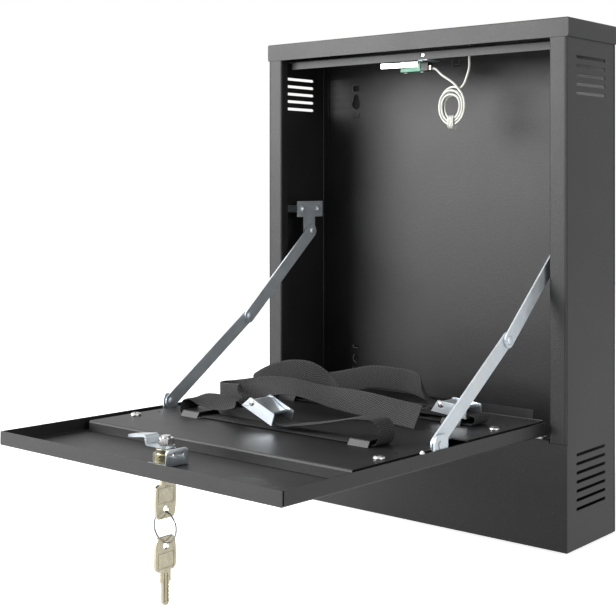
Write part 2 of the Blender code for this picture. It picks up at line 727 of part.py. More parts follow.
def wall_holes(centre_x):
    """The group of holes for hanging, on one side of the back panel."""
    half = KEYHOLE_NECK_WIDTH / 2
    radius = KEYHOLE_ROUND_DIAMETER / 2
    meet = math.degrees(math.acos(half / radius))
    neck_top = KEYHOLE_CENTRE_HEIGHT + KEYHOLE_NECK_RISE
    keyhole = arc((centre_x, KEYHOLE_CENTRE_HEIGHT), radius, 180 - meet, 360 + meet, 14)
    keyhole += arc((centre_x, neck_top - half), half, 0, 180, 6)
    square_z = KEYHOLE_CENTRE_HEIGHT + SQUARE_HOLE_RISE
    square = rounded_rectangle(centre_x - SQUARE_HOLE_WIDTH / 2, centre_x + SQUARE_HOLE_WIDTH / 2,
                               square_z - SQUARE_HOLE_HEIGHT / 2, square_z + SQUARE_HOLE_HEIGHT / 2,
                               SHEET, 2)
    round_hole = circle((centre_x, LOWER_HOLE_HEIGHT), LOWER_HOLE_DIAMETER / 2)
    slot_z = LOWER_HOLE_HEIGHT + LOWER_SLOT_RISE
    slot_reach = (LOWER_SLOT_WIDTH - LOWER_SLOT_HEIGHT) / 2
    slot = stadium((centre_x - slot_reach, slot_z), (centre_x + slot_reach, slot_z),
                   LOWER_SLOT_HEIGHT / 2, 4)
    lances = [lance(centre_x, KEYHOLE_CENTRE_HEIGHT - UPPER_LANCE_DROP),
              lance(centre_x, LOWER_HOLE_HEIGHT - LOWER_LANCE_DROP)]
    return [keyhole, square, round_hole, slot] + lances


def lance(centre_x, centre_z):
    """A U-shaped slit round a tongue that takes a cable tie."""
    half = LANCE_WIDTH / 2
    rise = LANCE_HEIGHT / 2
    return [(centre_x - half, centre_z + rise), (centre_x - half, centre_z - rise),
            (centre_x + half, centre_z - rise), (centre_x + half, centre_z + rise),
            (centre_x + half - LANCE_SLIT, centre_z + rise),
            (centre_x + half - LANCE_SLIT, centre_z - rise + LANCE_SLIT),
            (centre_x - half + LANCE_SLIT, centre_z - rise + LANCE_SLIT),
            (centre_x - half + LANCE_SLIT, centre_z + rise)]


def make_back_panel(cabinet):
    bm = bmesh.new()
    outline = rectangle(-SIDE_X, SIDE_X, 0.0, CABINET_HEIGHT - SHEET - SEAT_GAP)
    holes = wall_holes(-WALL_HOLE_SPACING / 2) + wall_holes(WALL_HOLE_SPACING / 2)
    holes.append(lance(0.0, CABINET_HEIGHT - TOP_LANCE_DROP))
    extrude(bm, [outline] + holes, "y", BACK_INNER_Y, CABINET_DEPTH)
    finish("back_panel", bm, black_paint(), cabinet)


def make_side_panel(cabinet, side, name):
    """A side wall with its front lip, rear flange and two banks of slots."""
    rear = BACK_INNER_Y - SEAT_GAP
    path = [(SIDE_X - SIDE_LIP_WIDTH, 0.0), (SIDE_X, 0.0), (SIDE_X, rear),
            (SIDE_X - REAR_FLANGE_WIDTH, rear)]

    def mirrored(x, y, z):
        return Vector((x * side, y, z))

    bm = bmesh.new()
    top = CABINET_HEIGHT - SHEET - SEAT_GAP
    extrude(bm, [sheet_section(path)], "z", 0.0, top, mirrored)
    panel = finish(name, bm, black_paint(), cabinet)
    lips = bmesh.new()
    reach = (SIDE_X - SIDE_LIP_WIDTH - CUT_OVERRUN, SIDE_X + CUT_OVERRUN)
    depth = (-CUT_OVERRUN, SHEET + SEAT_GAP)
    box(lips, reach, depth, (-CUT_OVERRUN, LOWER_PANEL_SHOULDER + SEAT_GAP), mirrored)
    box(lips, reach, depth, (OPENING_TOP - SEAT_GAP, CABINET_HEIGHT), mirrored)
    cut(panel, lips, name + "_lip_trim")
    slots = bmesh.new()
    half = SLOT_HEIGHT / 2
    heights = [CABINET_HEIGHT - UPPER_SLOT_TOP_INSET - i * SLOT_PITCH
               for i in range(UPPER_SLOT_COUNT)]
    heights += [LOWER_SLOT_TOP_HEIGHT - i * SLOT_PITCH for i in range(LOWER_SLOT_COUNT)]
    for height in heights:
        outline = stadium((SLOT_FRONT_INSET + half, height),
                          (SLOT_FRONT_INSET + SLOT_LENGTH - half, height), half, 4)
        extrude(slots, [outline], "x", WALL_INNER_X - CUT_OVERRUN, SIDE_X + CUT_OVERRUN, mirrored)
    cut(panel, slots, name + "_slots")


def make_top_cover(cabinet):
    """The top with its front lip and two side lips, which lap over the side walls."""
    outer_x = SIDE_X + SEAT_GAP + SHEET
    sides = (1, 1, 1, 0)
    bm = bmesh.new()
    levels = edge_levels(CABINET_HEIGHT, OPENING_TOP, COVER_EDGE_RADIUS, BEND_STEPS, sides)
    loft(bm, levels, (-outer_x, outer_x), (0.0, CABINET_DEPTH))
    cover = finish("top_cover", bm, black_paint(), cabinet)
    hollow = bmesh.new()
    inner = edge_levels(CABINET_HEIGHT - SHEET, OPENING_TOP - CUT_OVERRUN,
                        COVER_EDGE_RADIUS - SHEET, 1, sides)
    loft(hollow, inner, (-outer_x + SHEET, outer_x - SHEET), (SHEET, CABINET_DEPTH + CUT_OVERRUN))
    cut(cover, hollow, "top_cover_hollow")
    corners = bmesh.new()
    reach = 2 * SHEET
    for side in (-1, 1):
        low = OPENING_TOP - CUT_OVERRUN
        outline = [(outer_x + CUT_OVERRUN, low), (outer_x - reach, low)]
        outline += arc((outer_x - reach, OPENING_TOP + reach), reach, 270, 360, 3)
        outline.append((outer_x + CUT_OVERRUN, OPENING_TOP + reach))
        outline = [(a * side, b) for a, b in outline]
        extrude(corners, [outline], "y", -CUT_OVERRUN, SHEET / 2)
    cut(cover, corners, "top_cover_corners")


def make_floor(cabinet):
    inner = WALL_INNER_X - SEAT_GAP
    path = [(-inner, FLOOR_FLANGE_HEIGHT), (-inner, 0.0), (inner, 0.0),
            (inner, FLOOR_FLANGE_HEIGHT)]
    rear = BACK_INNER_Y - 2 * SEAT_GAP - SHEET
    bm = bmesh.new()
    extrude(bm, [sheet_section(path)], "y", SHEET + SEAT_GAP, rear)
    finish("bottom_panel", bm, black_paint(), cabinet)


def make_lower_front_panel(cabinet):
    path = [(LOWER_FLANGE_DEPTH, LOWER_PANEL_HEIGHT), (0.0, LOWER_PANEL_HEIGHT), (0.0, 0.0)]
    bm = bmesh.new()
    extrude(bm, [sheet_section(path)], "x", -SIDE_X, SIDE_X)
    panel = finish("lower_front_panel", bm, black_paint(), cabinet)
    corners = bmesh.new()
    for side in (-1, 1):
        reach = sorted((side * (OPENING_X - SEAT_GAP), side * (SIDE_X + CUT_OVERRUN)))
        box(corners, reach, (-CUT_OVERRUN, LOWER_FLANGE_DEPTH + CUT_OVERRUN),
            (LOWER_PANEL_SHOULDER, LOWER_PANEL_HEIGHT + CUT_OVERRUN))
    cut(panel, corners, "lower_front_panel_corners")


def make_post(cabinet, side, name):
    """The border beside the opening, folded back at the opening's edge."""
    outer = SIDE_X - SIDE_LIP_WIDTH - SEAT_GAP
    path = [(outer, 0.0), (OPENING_X, 0.0), (OPENING_X, POST_RETURN_DEPTH)]
    outline = [(x * side, y) for x, y in sheet_section(
        [(x, -y) for x, y in path])]
    outline = [(x, -y) for x, y in outline]
    bm = bmesh.new()
    extrude(bm, [outline], "z", LOWER_PANEL_SHOULDER + SEAT_GAP, OPENING_TOP - SEAT_GAP)
    finish(name, bm, black_paint(), cabinet)


def make_stop_angle(cabinet):
    """The angle that the closed door's top rim meets, with holes for the switch and its lead."""
    front = STOP_ANGLE_SETBACK
    path = [(front + STOP_FLANGE_DEPTH, STOP_TOP_Z), (front, STOP_TOP_Z),
            (front, STOP_TOP_Z - STOP_LEG_HEIGHT)]
    reach = WALL_INNER_X - SEAT_GAP
    bm = bmesh.new()
    extrude(bm, [sheet_section(path)], "x", -reach, reach)
    angle = finish("stop_angle", bm, black_paint(), cabinet)
    tool = bmesh.new()
    below = STOP_TOP_Z - SHEET - BEND
    for side in (-1, 1):
        span = sorted((side * (OPENING_X - STOP_LEG_END_GAP), side * (SIDE_X + CUT_OVERRUN)))
        box(tool, span, (front - CUT_OVERRUN, front + SHEET + BEND),
            (below - STOP_LEG_HEIGHT, STOP_TOP_Z + CUT_OVERRUN))
    hook_top = STOP_TOP_Z - HOOK_SLOT_DROP
    extrude(tool, [rounded_rectangle(HOOK_SLOT_X, HOOK_SLOT_X + HOOK_SLOT_WIDTH,
                                     hook_top - HOOK_SLOT_HEIGHT, hook_top, SHEET / 2, 2)],
            "y", front - CUT_OVERRUN, front + SHEET + CUT_OVERRUN / 3)
    rod(tool, "z", (GROMMET_X, grommet_y()), STOP_TOP_Z - SHEET - CUT_OVERRUN,
        STOP_TOP_Z + CUT_OVERRUN, GROMMET_GROOVE_RADIUS + SEAT_GAP)
    cut(angle, tool, "stop_angle_cuts")


def grommet_y():
    """The lead's hole sits in the middle of the stop angle's flat flange."""
    return STOP_ANGLE_SETBACK + (SHEET + STOP_FLANGE_DEPTH) / 2


def knuckle_spans(first):
    """Where each knuckle of one hinge leaf starts and ends; first is 0 or 1."""
    half = DOOR_HALF_WIDTH - HINGE_END_INSET
    pitch = 2 * half / HINGE_KNUCKLE_COUNT
    spans = []
    for i in range(first, HINGE_KNUCKLE_COUNT, 2):
        start = -half + i * pitch
        spans.append((start + HINGE_KNUCKLE_GAP / 2, start + pitch - HINGE_KNUCKLE_GAP / 2))
    return spans


def make_hinge_leaf(name, parent, first, root, tip, near, far, shoulder, place):
    """A comb-shaped leaf with its own knuckles joined on. Root to tip runs away from the pin."""
    half = DOOR_HALF_WIDTH - HINGE_END_INSET
    inset = HINGE_KNUCKLE_GAP / 4
    outline = [(-half, tip), (half, tip), (half, shoulder)]
    for start, end in reversed(knuckle_spans(first)):
        outline += [(end - inset, shoulder), (end - inset, root), (start + inset, root),
                    (start + inset, shoulder)]
    outline.append((-half, shoulder))
    bm = bmesh.new()
    if place is identity:
        extrude(bm, [outline], "z", near, far)
    else:
        extrude(bm, [outline], "y", near, far, place)
    leaf = finish(name, bm, zinc(), parent)
    rings = bmesh.new()
    bore = HINGE_PIN_RADIUS + HINGE_PIN_CLEARANCE
    for start, end in knuckle_spans(first):
        profile = [(start, bore), (start, HINGE_KNUCKLE_RADIUS), (end, HINGE_KNUCKLE_RADIUS),
                   (end, bore)]
        turned(rings, profile, "x", (0.0, 0.0), 12, closed=True)
    if place is identity:
        bmesh.ops.translate(rings, verts=rings.verts, vec=(0.0, HINGE_Y, HINGE_Z))
    boolean(leaf, rings, "UNION", name + "_knuckles")


def make_hinge(cabinet, door_axis):
    """A piano hinge: the cabinet's leaf lies on the lower panel, the door's under its end rim."""
    wall = HINGE_KNUCKLE_RADIUS - HINGE_PIN_RADIUS - HINGE_PIN_CLEARANCE
    inner = HINGE_PIN_RADIUS + HINGE_PIN_CLEARANCE + wall / 3
    shoulder = HINGE_KNUCKLE_RADIUS + HINGE_KNUCKLE_GAP / 2
    low = HINGE_Z - HINGE_LEAF_CLEARANCE - HINGE_LEAF_THICKNESS
    make_hinge_leaf("hinge_cabinet_leaf", cabinet, 0, HINGE_Y + inner, HINGE_LEAF_DEPTH,
                    low, low + HINGE_LEAF_THICKNESS, HINGE_Y + shoulder, identity)
    near = HINGE_U + HINGE_LEAF_CLEARANCE
    make_hinge_leaf("hinge_door_leaf", door_axis, 1, HINGE_W + inner, HINGE_LEAF_DEPTH,
                    near, near + HINGE_LEAF_THICKNESS, HINGE_W + shoulder, door_place)
    reach = DOOR_HALF_WIDTH - HINGE_END_INSET + HINGE_HEAD_LENGTH
    bm = bmesh.new()
    rod(bm, "x", (HINGE_Y, HINGE_Z), -reach, reach, HINGE_PIN_RADIUS, 12)
    finish("hinge_pin", bm, bright_steel(), cabinet)


def make_door_panel(door_axis):
    """The door: a shallow pan with open corner slits and a lower rim at the hinge."""
    half = DOOR_HALF_WIDTH
    spans = ((-half, half), (DOOR_END_U, DOOR_FREE_U))
    every = (1, 1, 1, 1)
    bm = bmesh.new()
    levels = edge_levels(0.0, DOOR_RIM_HEIGHT, DOOR_EDGE_RADIUS, BEND_STEPS, every)
    loft(bm, levels, *spans, door_place)
    pan = finish("door_panel", bm, black_paint(), door_axis)
    hollow = bmesh.new()
    inner = edge_levels(SHEET, DOOR_RIM_HEIGHT + CUT_OVERRUN, DOOR_EDGE_RADIUS - SHEET, 1, every)
    loft(hollow, inner, (-half + SHEET, half - SHEET),
         (DOOR_END_U + SHEET, DOOR_FREE_U - SHEET), door_place)
    cut(pan, hollow, "door_panel_hollow")
    tool = bmesh.new()
    past = SHEET + CUT_OVERRUN / 2
    for side in (-1, 1):
        for end, inward in ((DOOR_FREE_U, -1), (DOOR_END_U, 1)):
            slit_u = end + inward * (SHEET + DOOR_CORNER_SLIT / 2)
            across = sorted((side * (half - past), side * (half + CUT_OVERRUN)))
            along = sorted((slit_u - inward * DOOR_CORNER_SLIT / 2,
                            slit_u + inward * DOOR_CORNER_SLIT / 2))
            box(tool, across, along, (DOOR_EDGE_RADIUS, DOOR_RIM_HEIGHT + CUT_OVERRUN), door_place)
    rod(tool, "z", (0.0, LOCK_U), -CUT_OVERRUN, SHEET + CUT_OVERRUN,
        LOCK_BARREL_RADIUS + LOCK_HOLE_CLEARANCE, 24, door_place)
    cut(pan, tool, "door_panel_cuts")
    step_down = bmesh.new()
    box(step_down, (-half + past, half - past), (DOOR_END_U - CUT_OVERRUN, DOOR_END_U + past),
        (DOOR_HINGE_RIM_HEIGHT, DOOR_RIM_HEIGHT + CUT_OVERRUN), door_place)
    cut(pan, step_down, "door_panel_step_down")
    posts = bmesh.new()
    bore = TRAY_SCREW_RADIUS + SEAT_GAP
    high = TRAY_TOP - SHEET - SEAT_GAP
    for x, u in tray_screw_spots():
        profile = [(SHEET / 2, bore), (SHEET / 2, TRAY_POST_RADIUS), (high, TRAY_POST_RADIUS),
                   (high, bore)]
        turned(posts, profile, "z", (x, u), 12, door_place, closed=True)
    boolean(pan, posts, "UNION", "door_panel_posts")


def tray_screw_spots():
    x = TRAY_HALF_WIDTH - TRAY_SCREW_INSET
    return [(side * x, u) for side in (-1, 1) for u in (TRAY_SCREW_REAR_U, TRAY_SCREW_FRONT_U)]


def tray_pilot_spots():
    """Spare holes behind the tray screws, a little further in."""
    x = TRAY_HALF_WIDTH - TRAY_SCREW_INSET - TRAY_PILOT_OFFSET_X
    rear = TRAY_REAR_U + TRAY_PILOT_SHARE * (TRAY_SCREW_REAR_U - TRAY_REAR_U)
    front = (TRAY_NOTCH_FRONT_U
             + TRAY_PILOT_SHARE * (TRAY_SCREW_FRONT_U - TRAY_NOTCH_FRONT_U))
    return [(side * x, u) for side in (-1, 1) for u in (rear, front)]


def strap_bridge_spots():
    return [(side * STRAP_BRIDGE_X, u) for side in (-1, 1) for u in (REAR_STRAP_U, FRONT_STRAP_U)]


def make_tray(door_axis):
    """The tray: folded down at the front, up at the rear, with four raised strap bridges."""
    half = TRAY_HALF_WIDTH
    path = [(TRAY_FRONT_U, SHEET + SEAT_GAP), (TRAY_FRONT_U, TRAY_TOP), (TRAY_REAR_U, TRAY_TOP),
            (TRAY_REAR_U, TRAY_TOP + TRAY_UPSTAND_HEIGHT)]
    bm = bmesh.new()
    extrude(bm, [sheet_section(path)], "x", -half, half, door_place)
    tray = finish("tray", bm, black_paint(), door_axis)
    tool = bmesh.new()
    low = TRAY_TOP - SHEET - CUT_OVERRUN
    high = TRAY_TOP + CUT_OVERRUN
    root = STRAP_BRIDGE_SPAN / 2 - SHEET
    for side in (-1, 1):
        edge = sorted((side * (half - TRAY_UPSTAND_INSET), side * (half + CUT_OVERRUN)))
        box(tool, edge, (TRAY_REAR_U - SHEET - CUT_OVERRUN, TRAY_REAR_U + SHEET),
            (TRAY_TOP + BEND, TRAY_TOP + TRAY_UPSTAND_HEIGHT + CUT_OVERRUN), door_place)
        notch = sorted((side * (half - TRAY_NOTCH_DEPTH), side * (half + CUT_OVERRUN)))
        box(tool, notch, (TRAY_NOTCH_REAR_U, TRAY_NOTCH_FRONT_U), (low, high), door_place)
    for x, u in strap_bridge_spots():
        reach = STRAP_BRIDGE_LENGTH / 2 + STRAP_BRIDGE_SLIT
        outline = rounded_rectangle(x - reach, x + reach, u - root + SEAT_GAP,
                                    u + root - SEAT_GAP, STRAP_BRIDGE_SLIT, 1)
        extrude(tool, [outline], "z", low, high, door_place)
    for x, u in tray_screw_spots():
        rod(tool, "z", (x, u), low, high, TRAY_SCREW_RADIUS + SEAT_GAP, 12, door_place)
    for x, u in tray_pilot_spots():
        rod(tool, "z", (x, u), low, high, TRAY_PILOT_RADIUS, 12, door_place)
    cut(tray, tool, "tray_cuts")
    loops = bmesh.new()
    foot_w = TRAY_TOP - SHEET * 0.75
    crest_w = TRAY_TOP + STRAP_BRIDGE_RISE - SHEET
    crest = root - STRAP_BRIDGE_LEG_RUN
    for x, u in strap_bridge_spots():
        path = [(u - root, foot_w), (u - crest, crest_w), (u + crest, crest_w),
                (u + root, foot_w)]
        extrude(loops, [sheet_section(path, SHEET, BEND, 2)], "x",
                x - STRAP_BRIDGE_LENGTH / 2, x + STRAP_BRIDGE_LENGTH / 2, door_place)
    boolean(tray, loops, "UNION", "tray_strap_bridges")


def make_tray_screws(door_axis):
    """The screws that hold the tray down on the door's threaded posts."""
    start = TRAY_TOP - TRAY_SCREW_REACH
    face = TRAY_TOP + SEAT_GAP
    profile = [(start, 0), (start, TRAY_SCREW_RADIUS)]
    profile += domed_head(face, face + TRAY_SCREW_HEAD_HEIGHT, TRAY_SCREW_HEAD_RADIUS,
                          TRAY_SCREW_RADIUS, 3)
    bm = bmesh.new()
    turned(bm, profile, "z", (0.0, 0.0), 16)
    mesh = shared_mesh("tray_screw", bm, bright_steel())
    for number, (x, u) in enumerate(tray_screw_spots(), 1):
        add_copy(f"tray_screw_{number}", mesh, door_axis, door_place(x, u, 0.0))


def stay_layer(index):
    """Inner and outer |x| of one layer of the stay; layer 0 holds the bracket and the tab."""
    outer = STAY_OUTER_X - index * STAY_LAYER_PITCH
    return outer - STAY_PLATE, outer


def door_point(u, w):
    """World y and z, in the cabinet's frame, of a door point while the door is open."""
    out = u - HINGE_U
    up = w - HINGE_W
    return (HINGE_Y - out * math.cos(TILT) + up * math.sin(TILT),
            HINGE_Z + out * math.sin(TILT) + up * math.cos(TILT))


def stay_angles():
    """Heading of the upper link and of the lower link, as drawn in the y-z plane."""
    top = Vector((STAY_CABINET_PIVOT_Y, STAY_CABINET_PIVOT_Z))
    foot = Vector(door_point(STAY_DOOR_PIVOT_U, STAY_DOOR_PIVOT_W))
    span = top - foot
    bow = math.acos(min(span.length / (2 * STAY_LINK_LENGTH), 1.0))
    rise = math.atan2(span.y, span.x)
    return rise + math.pi + bow, rise - bow


def make_stay_bracket(cabinet, side, name):
    """T-shaped bracket plate that stands off the side wall and carries the upper link."""
    y0 = BRACKET_BAR_FRONT_Y
    y1 = y0 + BRACKET_BAR_LENGTH
    z0 = BRACKET_BAR_BOTTOM_Z
    z1 = z0 + BRACKET_BAR_HEIGHT
    pivot = (STAY_CABINET_PIVOT_Y, STAY_CABINET_PIVOT_Z)
    half = BRACKET_STEM_WIDTH / 2
    outline = [(y0, z0), (pivot[0] - half, z0)]
    outline += arc(pivot, half, 180, 360, 10)
    outline += [(pivot[0] + half, z0), (y1, z0), (y1, z1), (y0, z1)]
    holes = [circle(pivot, RIVET_RADIUS + RIVET_CLEARANCE, 14)]
    for y in bracket_post_ys():
        holes.append(circle((y, z0 + BRACKET_BAR_HEIGHT / 2),
                            BRACKET_RIVET_RADIUS + SEAT_GAP, 12))
    low, high = sorted(side * x for x in stay_layer(0))
    bm = bmesh.new()
    extrude(bm, [outline] + holes, "x", low, high)
    finish(name, bm, zinc(), cabinet)


def bracket_post_ys():
    y0 = BRACKET_BAR_FRONT_Y
    return (y0 + BRACKET_POST_INSET, y0 + BRACKET_BAR_LENGTH - BRACKET_POST_INSET)


def make_standoffs(cabinet):
    """Shouldered rivets that hold the brackets clear of the side walls."""
    inner, outer = stay_layer(0)
    wall = WALL_INNER_X - SEAT_GAP
    shoulder = outer + SEAT_GAP
    profile = [(wall, 0), (wall, BRACKET_POST_RADIUS), (shoulder, BRACKET_POST_RADIUS),
               (shoulder, BRACKET_RIVET_RADIUS)]
    face = inner - SEAT_GAP
    profile += domed_head(face, face - BRACKET_HEAD_HEIGHT, BRACKET_HEAD_RADIUS,
                          BRACKET_RIVET_RADIUS, 3)
    z = BRACKET_BAR_BOTTOM_Z + BRACKET_BAR_HEIGHT / 2
    for side, word in ((-1, "left"), (1, "right")):
        bm = bmesh.new()
        turned(bm, [(along * side, radius) for along, radius in profile], "x", (0.0, 0.0), 14)
        mesh = shared_mesh("stay_standoff_" + word, bm, zinc())
        for y, place_word in zip(bracket_post_ys(), ("front", "rear")):
            add_copy(f"stay_standoff_{word}_{place_word}", mesh, cabinet, (0.0, y, z))


def make_tab(door_axis, side, name):
    """The upright tab on the door's rim that carries the lower link."""
    rear = TAB_FRONT_U - TAB_LENGTH
    outline = [(rear, SHEET + SEAT_GAP), (TAB_FRONT_U, SHEET + SEAT_GAP)]
    outline += arc((TAB_FRONT_U - TAB_CORNER_RADIUS, TAB_TOP_W - TAB_CORNER_RADIUS),
                   TAB_CORNER_RADIUS, 0, 90, 4)
    outline += arc((rear + TAB_CORNER_RADIUS / 2, TAB_TOP_W - TAB_CORNER_RADIUS / 2),
                   TAB_CORNER_RADIUS / 2, 90, 180, 3)
    hole = circle((STAY_DOOR_PIVOT_U, STAY_DOOR_PIVOT_W), RIVET_RADIUS + RIVET_CLEARANCE, 14)
    low, high = sorted(side * x for x in stay_layer(0))
    bm = bmesh.new()
    extrude(bm, [outline, hole], "x", low, high, door_place)
    finish(name, bm, zinc(), door_axis)


def make_link(name, parent, side, layer, head_outwards):
    """One stay link along its own +y from its pivot, with its half of the elbow rivet."""
    outline = stadium((0.0, 0.0), (STAY_LINK_LENGTH, 0.0), STAY_WIDTH / 2, 8)
    hole = circle((0.0, 0.0), RIVET_RADIUS + RIVET_CLEARANCE, 14)
    inner, outer = stay_layer(layer)
    low, high = sorted((side * inner, side * outer))
    bm = bmesh.new()
    extrude(bm, [outline, hole], "x", low, high)
    link = finish(name, bm, zinc(), parent)
    middle = (inner + outer) / 2
    top = outer + RIVET_HEAD_HEIGHT if head_outwards else inner - RIVET_HEAD_HEIGHT
    base = outer if head_outwards else inner
    profile = [(middle, 0), (middle, RIVET_HEAD_RADIUS)]
    profile += domed_head(base, top, RIVET_HEAD_RADIUS, RIVET_HEAD_RADIUS)[1:]
    rivet = bmesh.new()
    turned(rivet, [(along * side, radius) for along, radius in profile], "x",
           (STAY_LINK_LENGTH, 0.0), 16)
    boolean(link, rivet, "UNION", name + "_elbow_rivet")


def pivot_rivet(name, parent, side, link_layer, location, turn_x=0.0):
    """A rivet through layer 0 and a link, with a washer in any layer between them."""
    inner0, outer0 = stay_layer(0)
    inner, outer = stay_layer(link_layer)
    back = outer0 + SEAT_GAP
    profile = [(back + RIVET_HEAD_HEIGHT / 3, 0),
               (back + RIVET_HEAD_HEIGHT / 3, RIVET_SMALL_HEAD_RADIUS),
               (back, RIVET_SMALL_HEAD_RADIUS), (back, RIVET_RADIUS)]
    if link_layer > 1:
        profile += [(inner0 - SEAT_GAP, RIVET_RADIUS), (inner0 - SEAT_GAP, RIVET_WASHER_RADIUS),
                    (outer + SEAT_GAP, RIVET_WASHER_RADIUS), (outer + SEAT_GAP, RIVET_RADIUS)]
    face = inner - SEAT_GAP
    profile += domed_head(face, face - RIVET_HEAD_HEIGHT, RIVET_HEAD_RADIUS, RIVET_RADIUS)
    bm = bmesh.new()
    turned(bm, [(along * side, radius) for along, radius in profile], "x", (0.0, 0.0), 16)
    rivet = finish(name, bm, zinc(), parent)
    rivet.location = location


def make_stays(cabinet, door_axis):
    """Both folding stays. The elbow is open: each link keeps its own half of the rivet."""
    upper_heading, lower_heading = stay_angles()
    cabinet_pivot = (0.0, STAY_CABINET_PIVOT_Y, STAY_CABINET_PIVOT_Z)
    door_pivot = door_place(0.0, STAY_DOOR_PIVOT_U, STAY_DOOR_PIVOT_W)
    for side, word, upper_layer in ((-1, "left", 2), (1, "right", 1)):
        lower_layer = 3 - upper_layer
        make_stay_bracket(cabinet, side, "stay_bracket_" + word)
        make_tab(door_axis, side, "stay_tab_" + word)
        upper = group("stay_upper_axis_" + word, cabinet, cabinet_pivot, upper_heading)
        make_link("stay_upper_link_" + word, upper, side, upper_layer, upper_layer < lower_layer)
        lower = group("stay_lower_axis_" + word, door_axis, door_pivot, lower_heading + TILT)
        make_link("stay_lower_link_" + word, lower, side, lower_layer, lower_layer < upper_layer)
        pivot_rivet("stay_upper_rivet_" + word, cabinet, side, upper_layer, cabinet_pivot)
        pivot_rivet("stay_lower_rivet_" + word, door_axis, side, lower_layer, door_pivot)


def make_lock_barrel(door_axis):
    """Lock housing: a round head outside, a barrel through the door and a groove for its clip."""
    bore = PLUG_RADIUS + PLUG_CLEARANCE
    clip_low = SHEET + SEAT_GAP
    groove_top = clip_low + CLIP_THICKNESS + 2 * SEAT_GAP
    head = LOCK_HEAD_RADIUS
    face = -SEAT_GAP - LOCK_HEAD_HEIGHT
    profile = [(face, bore), (face, head - LOCK_HEAD_HEIGHT / 2),
               (face + LOCK_HEAD_HEIGHT / 2, head), (-SEAT_GAP, head),
               (-SEAT_GAP, LOCK_BARREL_RADIUS), (clip_low, LOCK_BARREL_RADIUS),
               (clip_low, LOCK_GROOVE_RADIUS), (groove_top, LOCK_GROOVE_RADIUS),
               (groove_top, LOCK_BARREL_RADIUS), (LOCK_BARREL_TOP_W, LOCK_BARREL_RADIUS),
               (LOCK_BARREL_TOP_W, LOCK_NECK_RADIUS), (LOCK_NECK_TOP_W, LOCK_NECK_RADIUS),
               (LOCK_NECK_TOP_W, bore)]
    bm = bmesh.new()
    turned(bm, profile, "z", (0.0, LOCK_U), 28, door_place, closed=True)
    finish("lock_barrel", bm, brass(), door_axis)


def make_lock_clip(door_axis):
    """The horseshoe clip in the barrel's groove, with its wall turned up beside the barrel."""
    low = SHEET + 2 * SEAT_GAP
    slot = LOCK_GROOVE_RADIUS + CLIP_SLOT_CLEARANCE
    half = CLIP_HALF_WIDTH
    foot = [(-slot, LOCK_U - half)]
    foot += [(CLIP_REACH, LOCK_U - half), (CLIP_REACH, LOCK_U + half), (-slot, LOCK_U + half),
             (-slot, LOCK_U + slot)]
    foot += arc((0.0, LOCK_U), slot, 90, -90, 12)
    foot.append((-slot, LOCK_U - slot))
    bm = bmesh.new()
    extrude(bm, [foot], "z", low, low + CLIP_THICKNESS, door_place)
    clip = finish("lock_clip", bm, zinc(), door_axis)
    wall = bmesh.new()
    corner = half / 3
    start = low + CLIP_THICKNESS / 2
    outline = [(LOCK_U - half, start), (LOCK_U + half, start)]
    outline += arc((LOCK_U + half - corner, CLIP_WALL_TOP_W - corner), corner, 0, 90, 3)
    outline += arc((LOCK_U - half + corner, CLIP_WALL_TOP_W - corner), corner, 90, 180, 3)
    extrude(wall, [outline], "x", CLIP_REACH - CLIP_THICKNESS, CLIP_REACH, door_place)
    boolean(clip, wall, "UNION", "lock_clip_wall")


def make_plug(lock_axis):
    """The plug with its keyway and threaded tail."""
    face = -SEAT_GAP - LOCK_HEAD_HEIGHT
    profile = [(face, 0), (face, PLUG_RADIUS), (LOCK_NECK_TOP_W, PLUG_RADIUS),
               (LOCK_NECK_TOP_W, PLUG_TAIL_RADIUS), (PLUG_TAIL_TOP_W, PLUG_TAIL_RADIUS),
               (PLUG_TAIL_TOP_W, 0)]
    bm = bmesh.new()
    turned(bm, profile, "z", (0.0, LOCK_U), 20, lock_place)
    plug = finish("lock_plug", bm, bright_steel(), lock_axis)
    keyway = bmesh.new()
    half = KEYWAY_HEIGHT / 2
    box(keyway, (-KEYWAY_WIDTH / 2, KEYWAY_WIDTH / 2), (LOCK_U - half, LOCK_U + half),
        (face - CUT_OVERRUN, LOCK_NECK_TOP_W - SHEET), lock_place)
    cut(plug, keyway, "lock_plug_keyway")


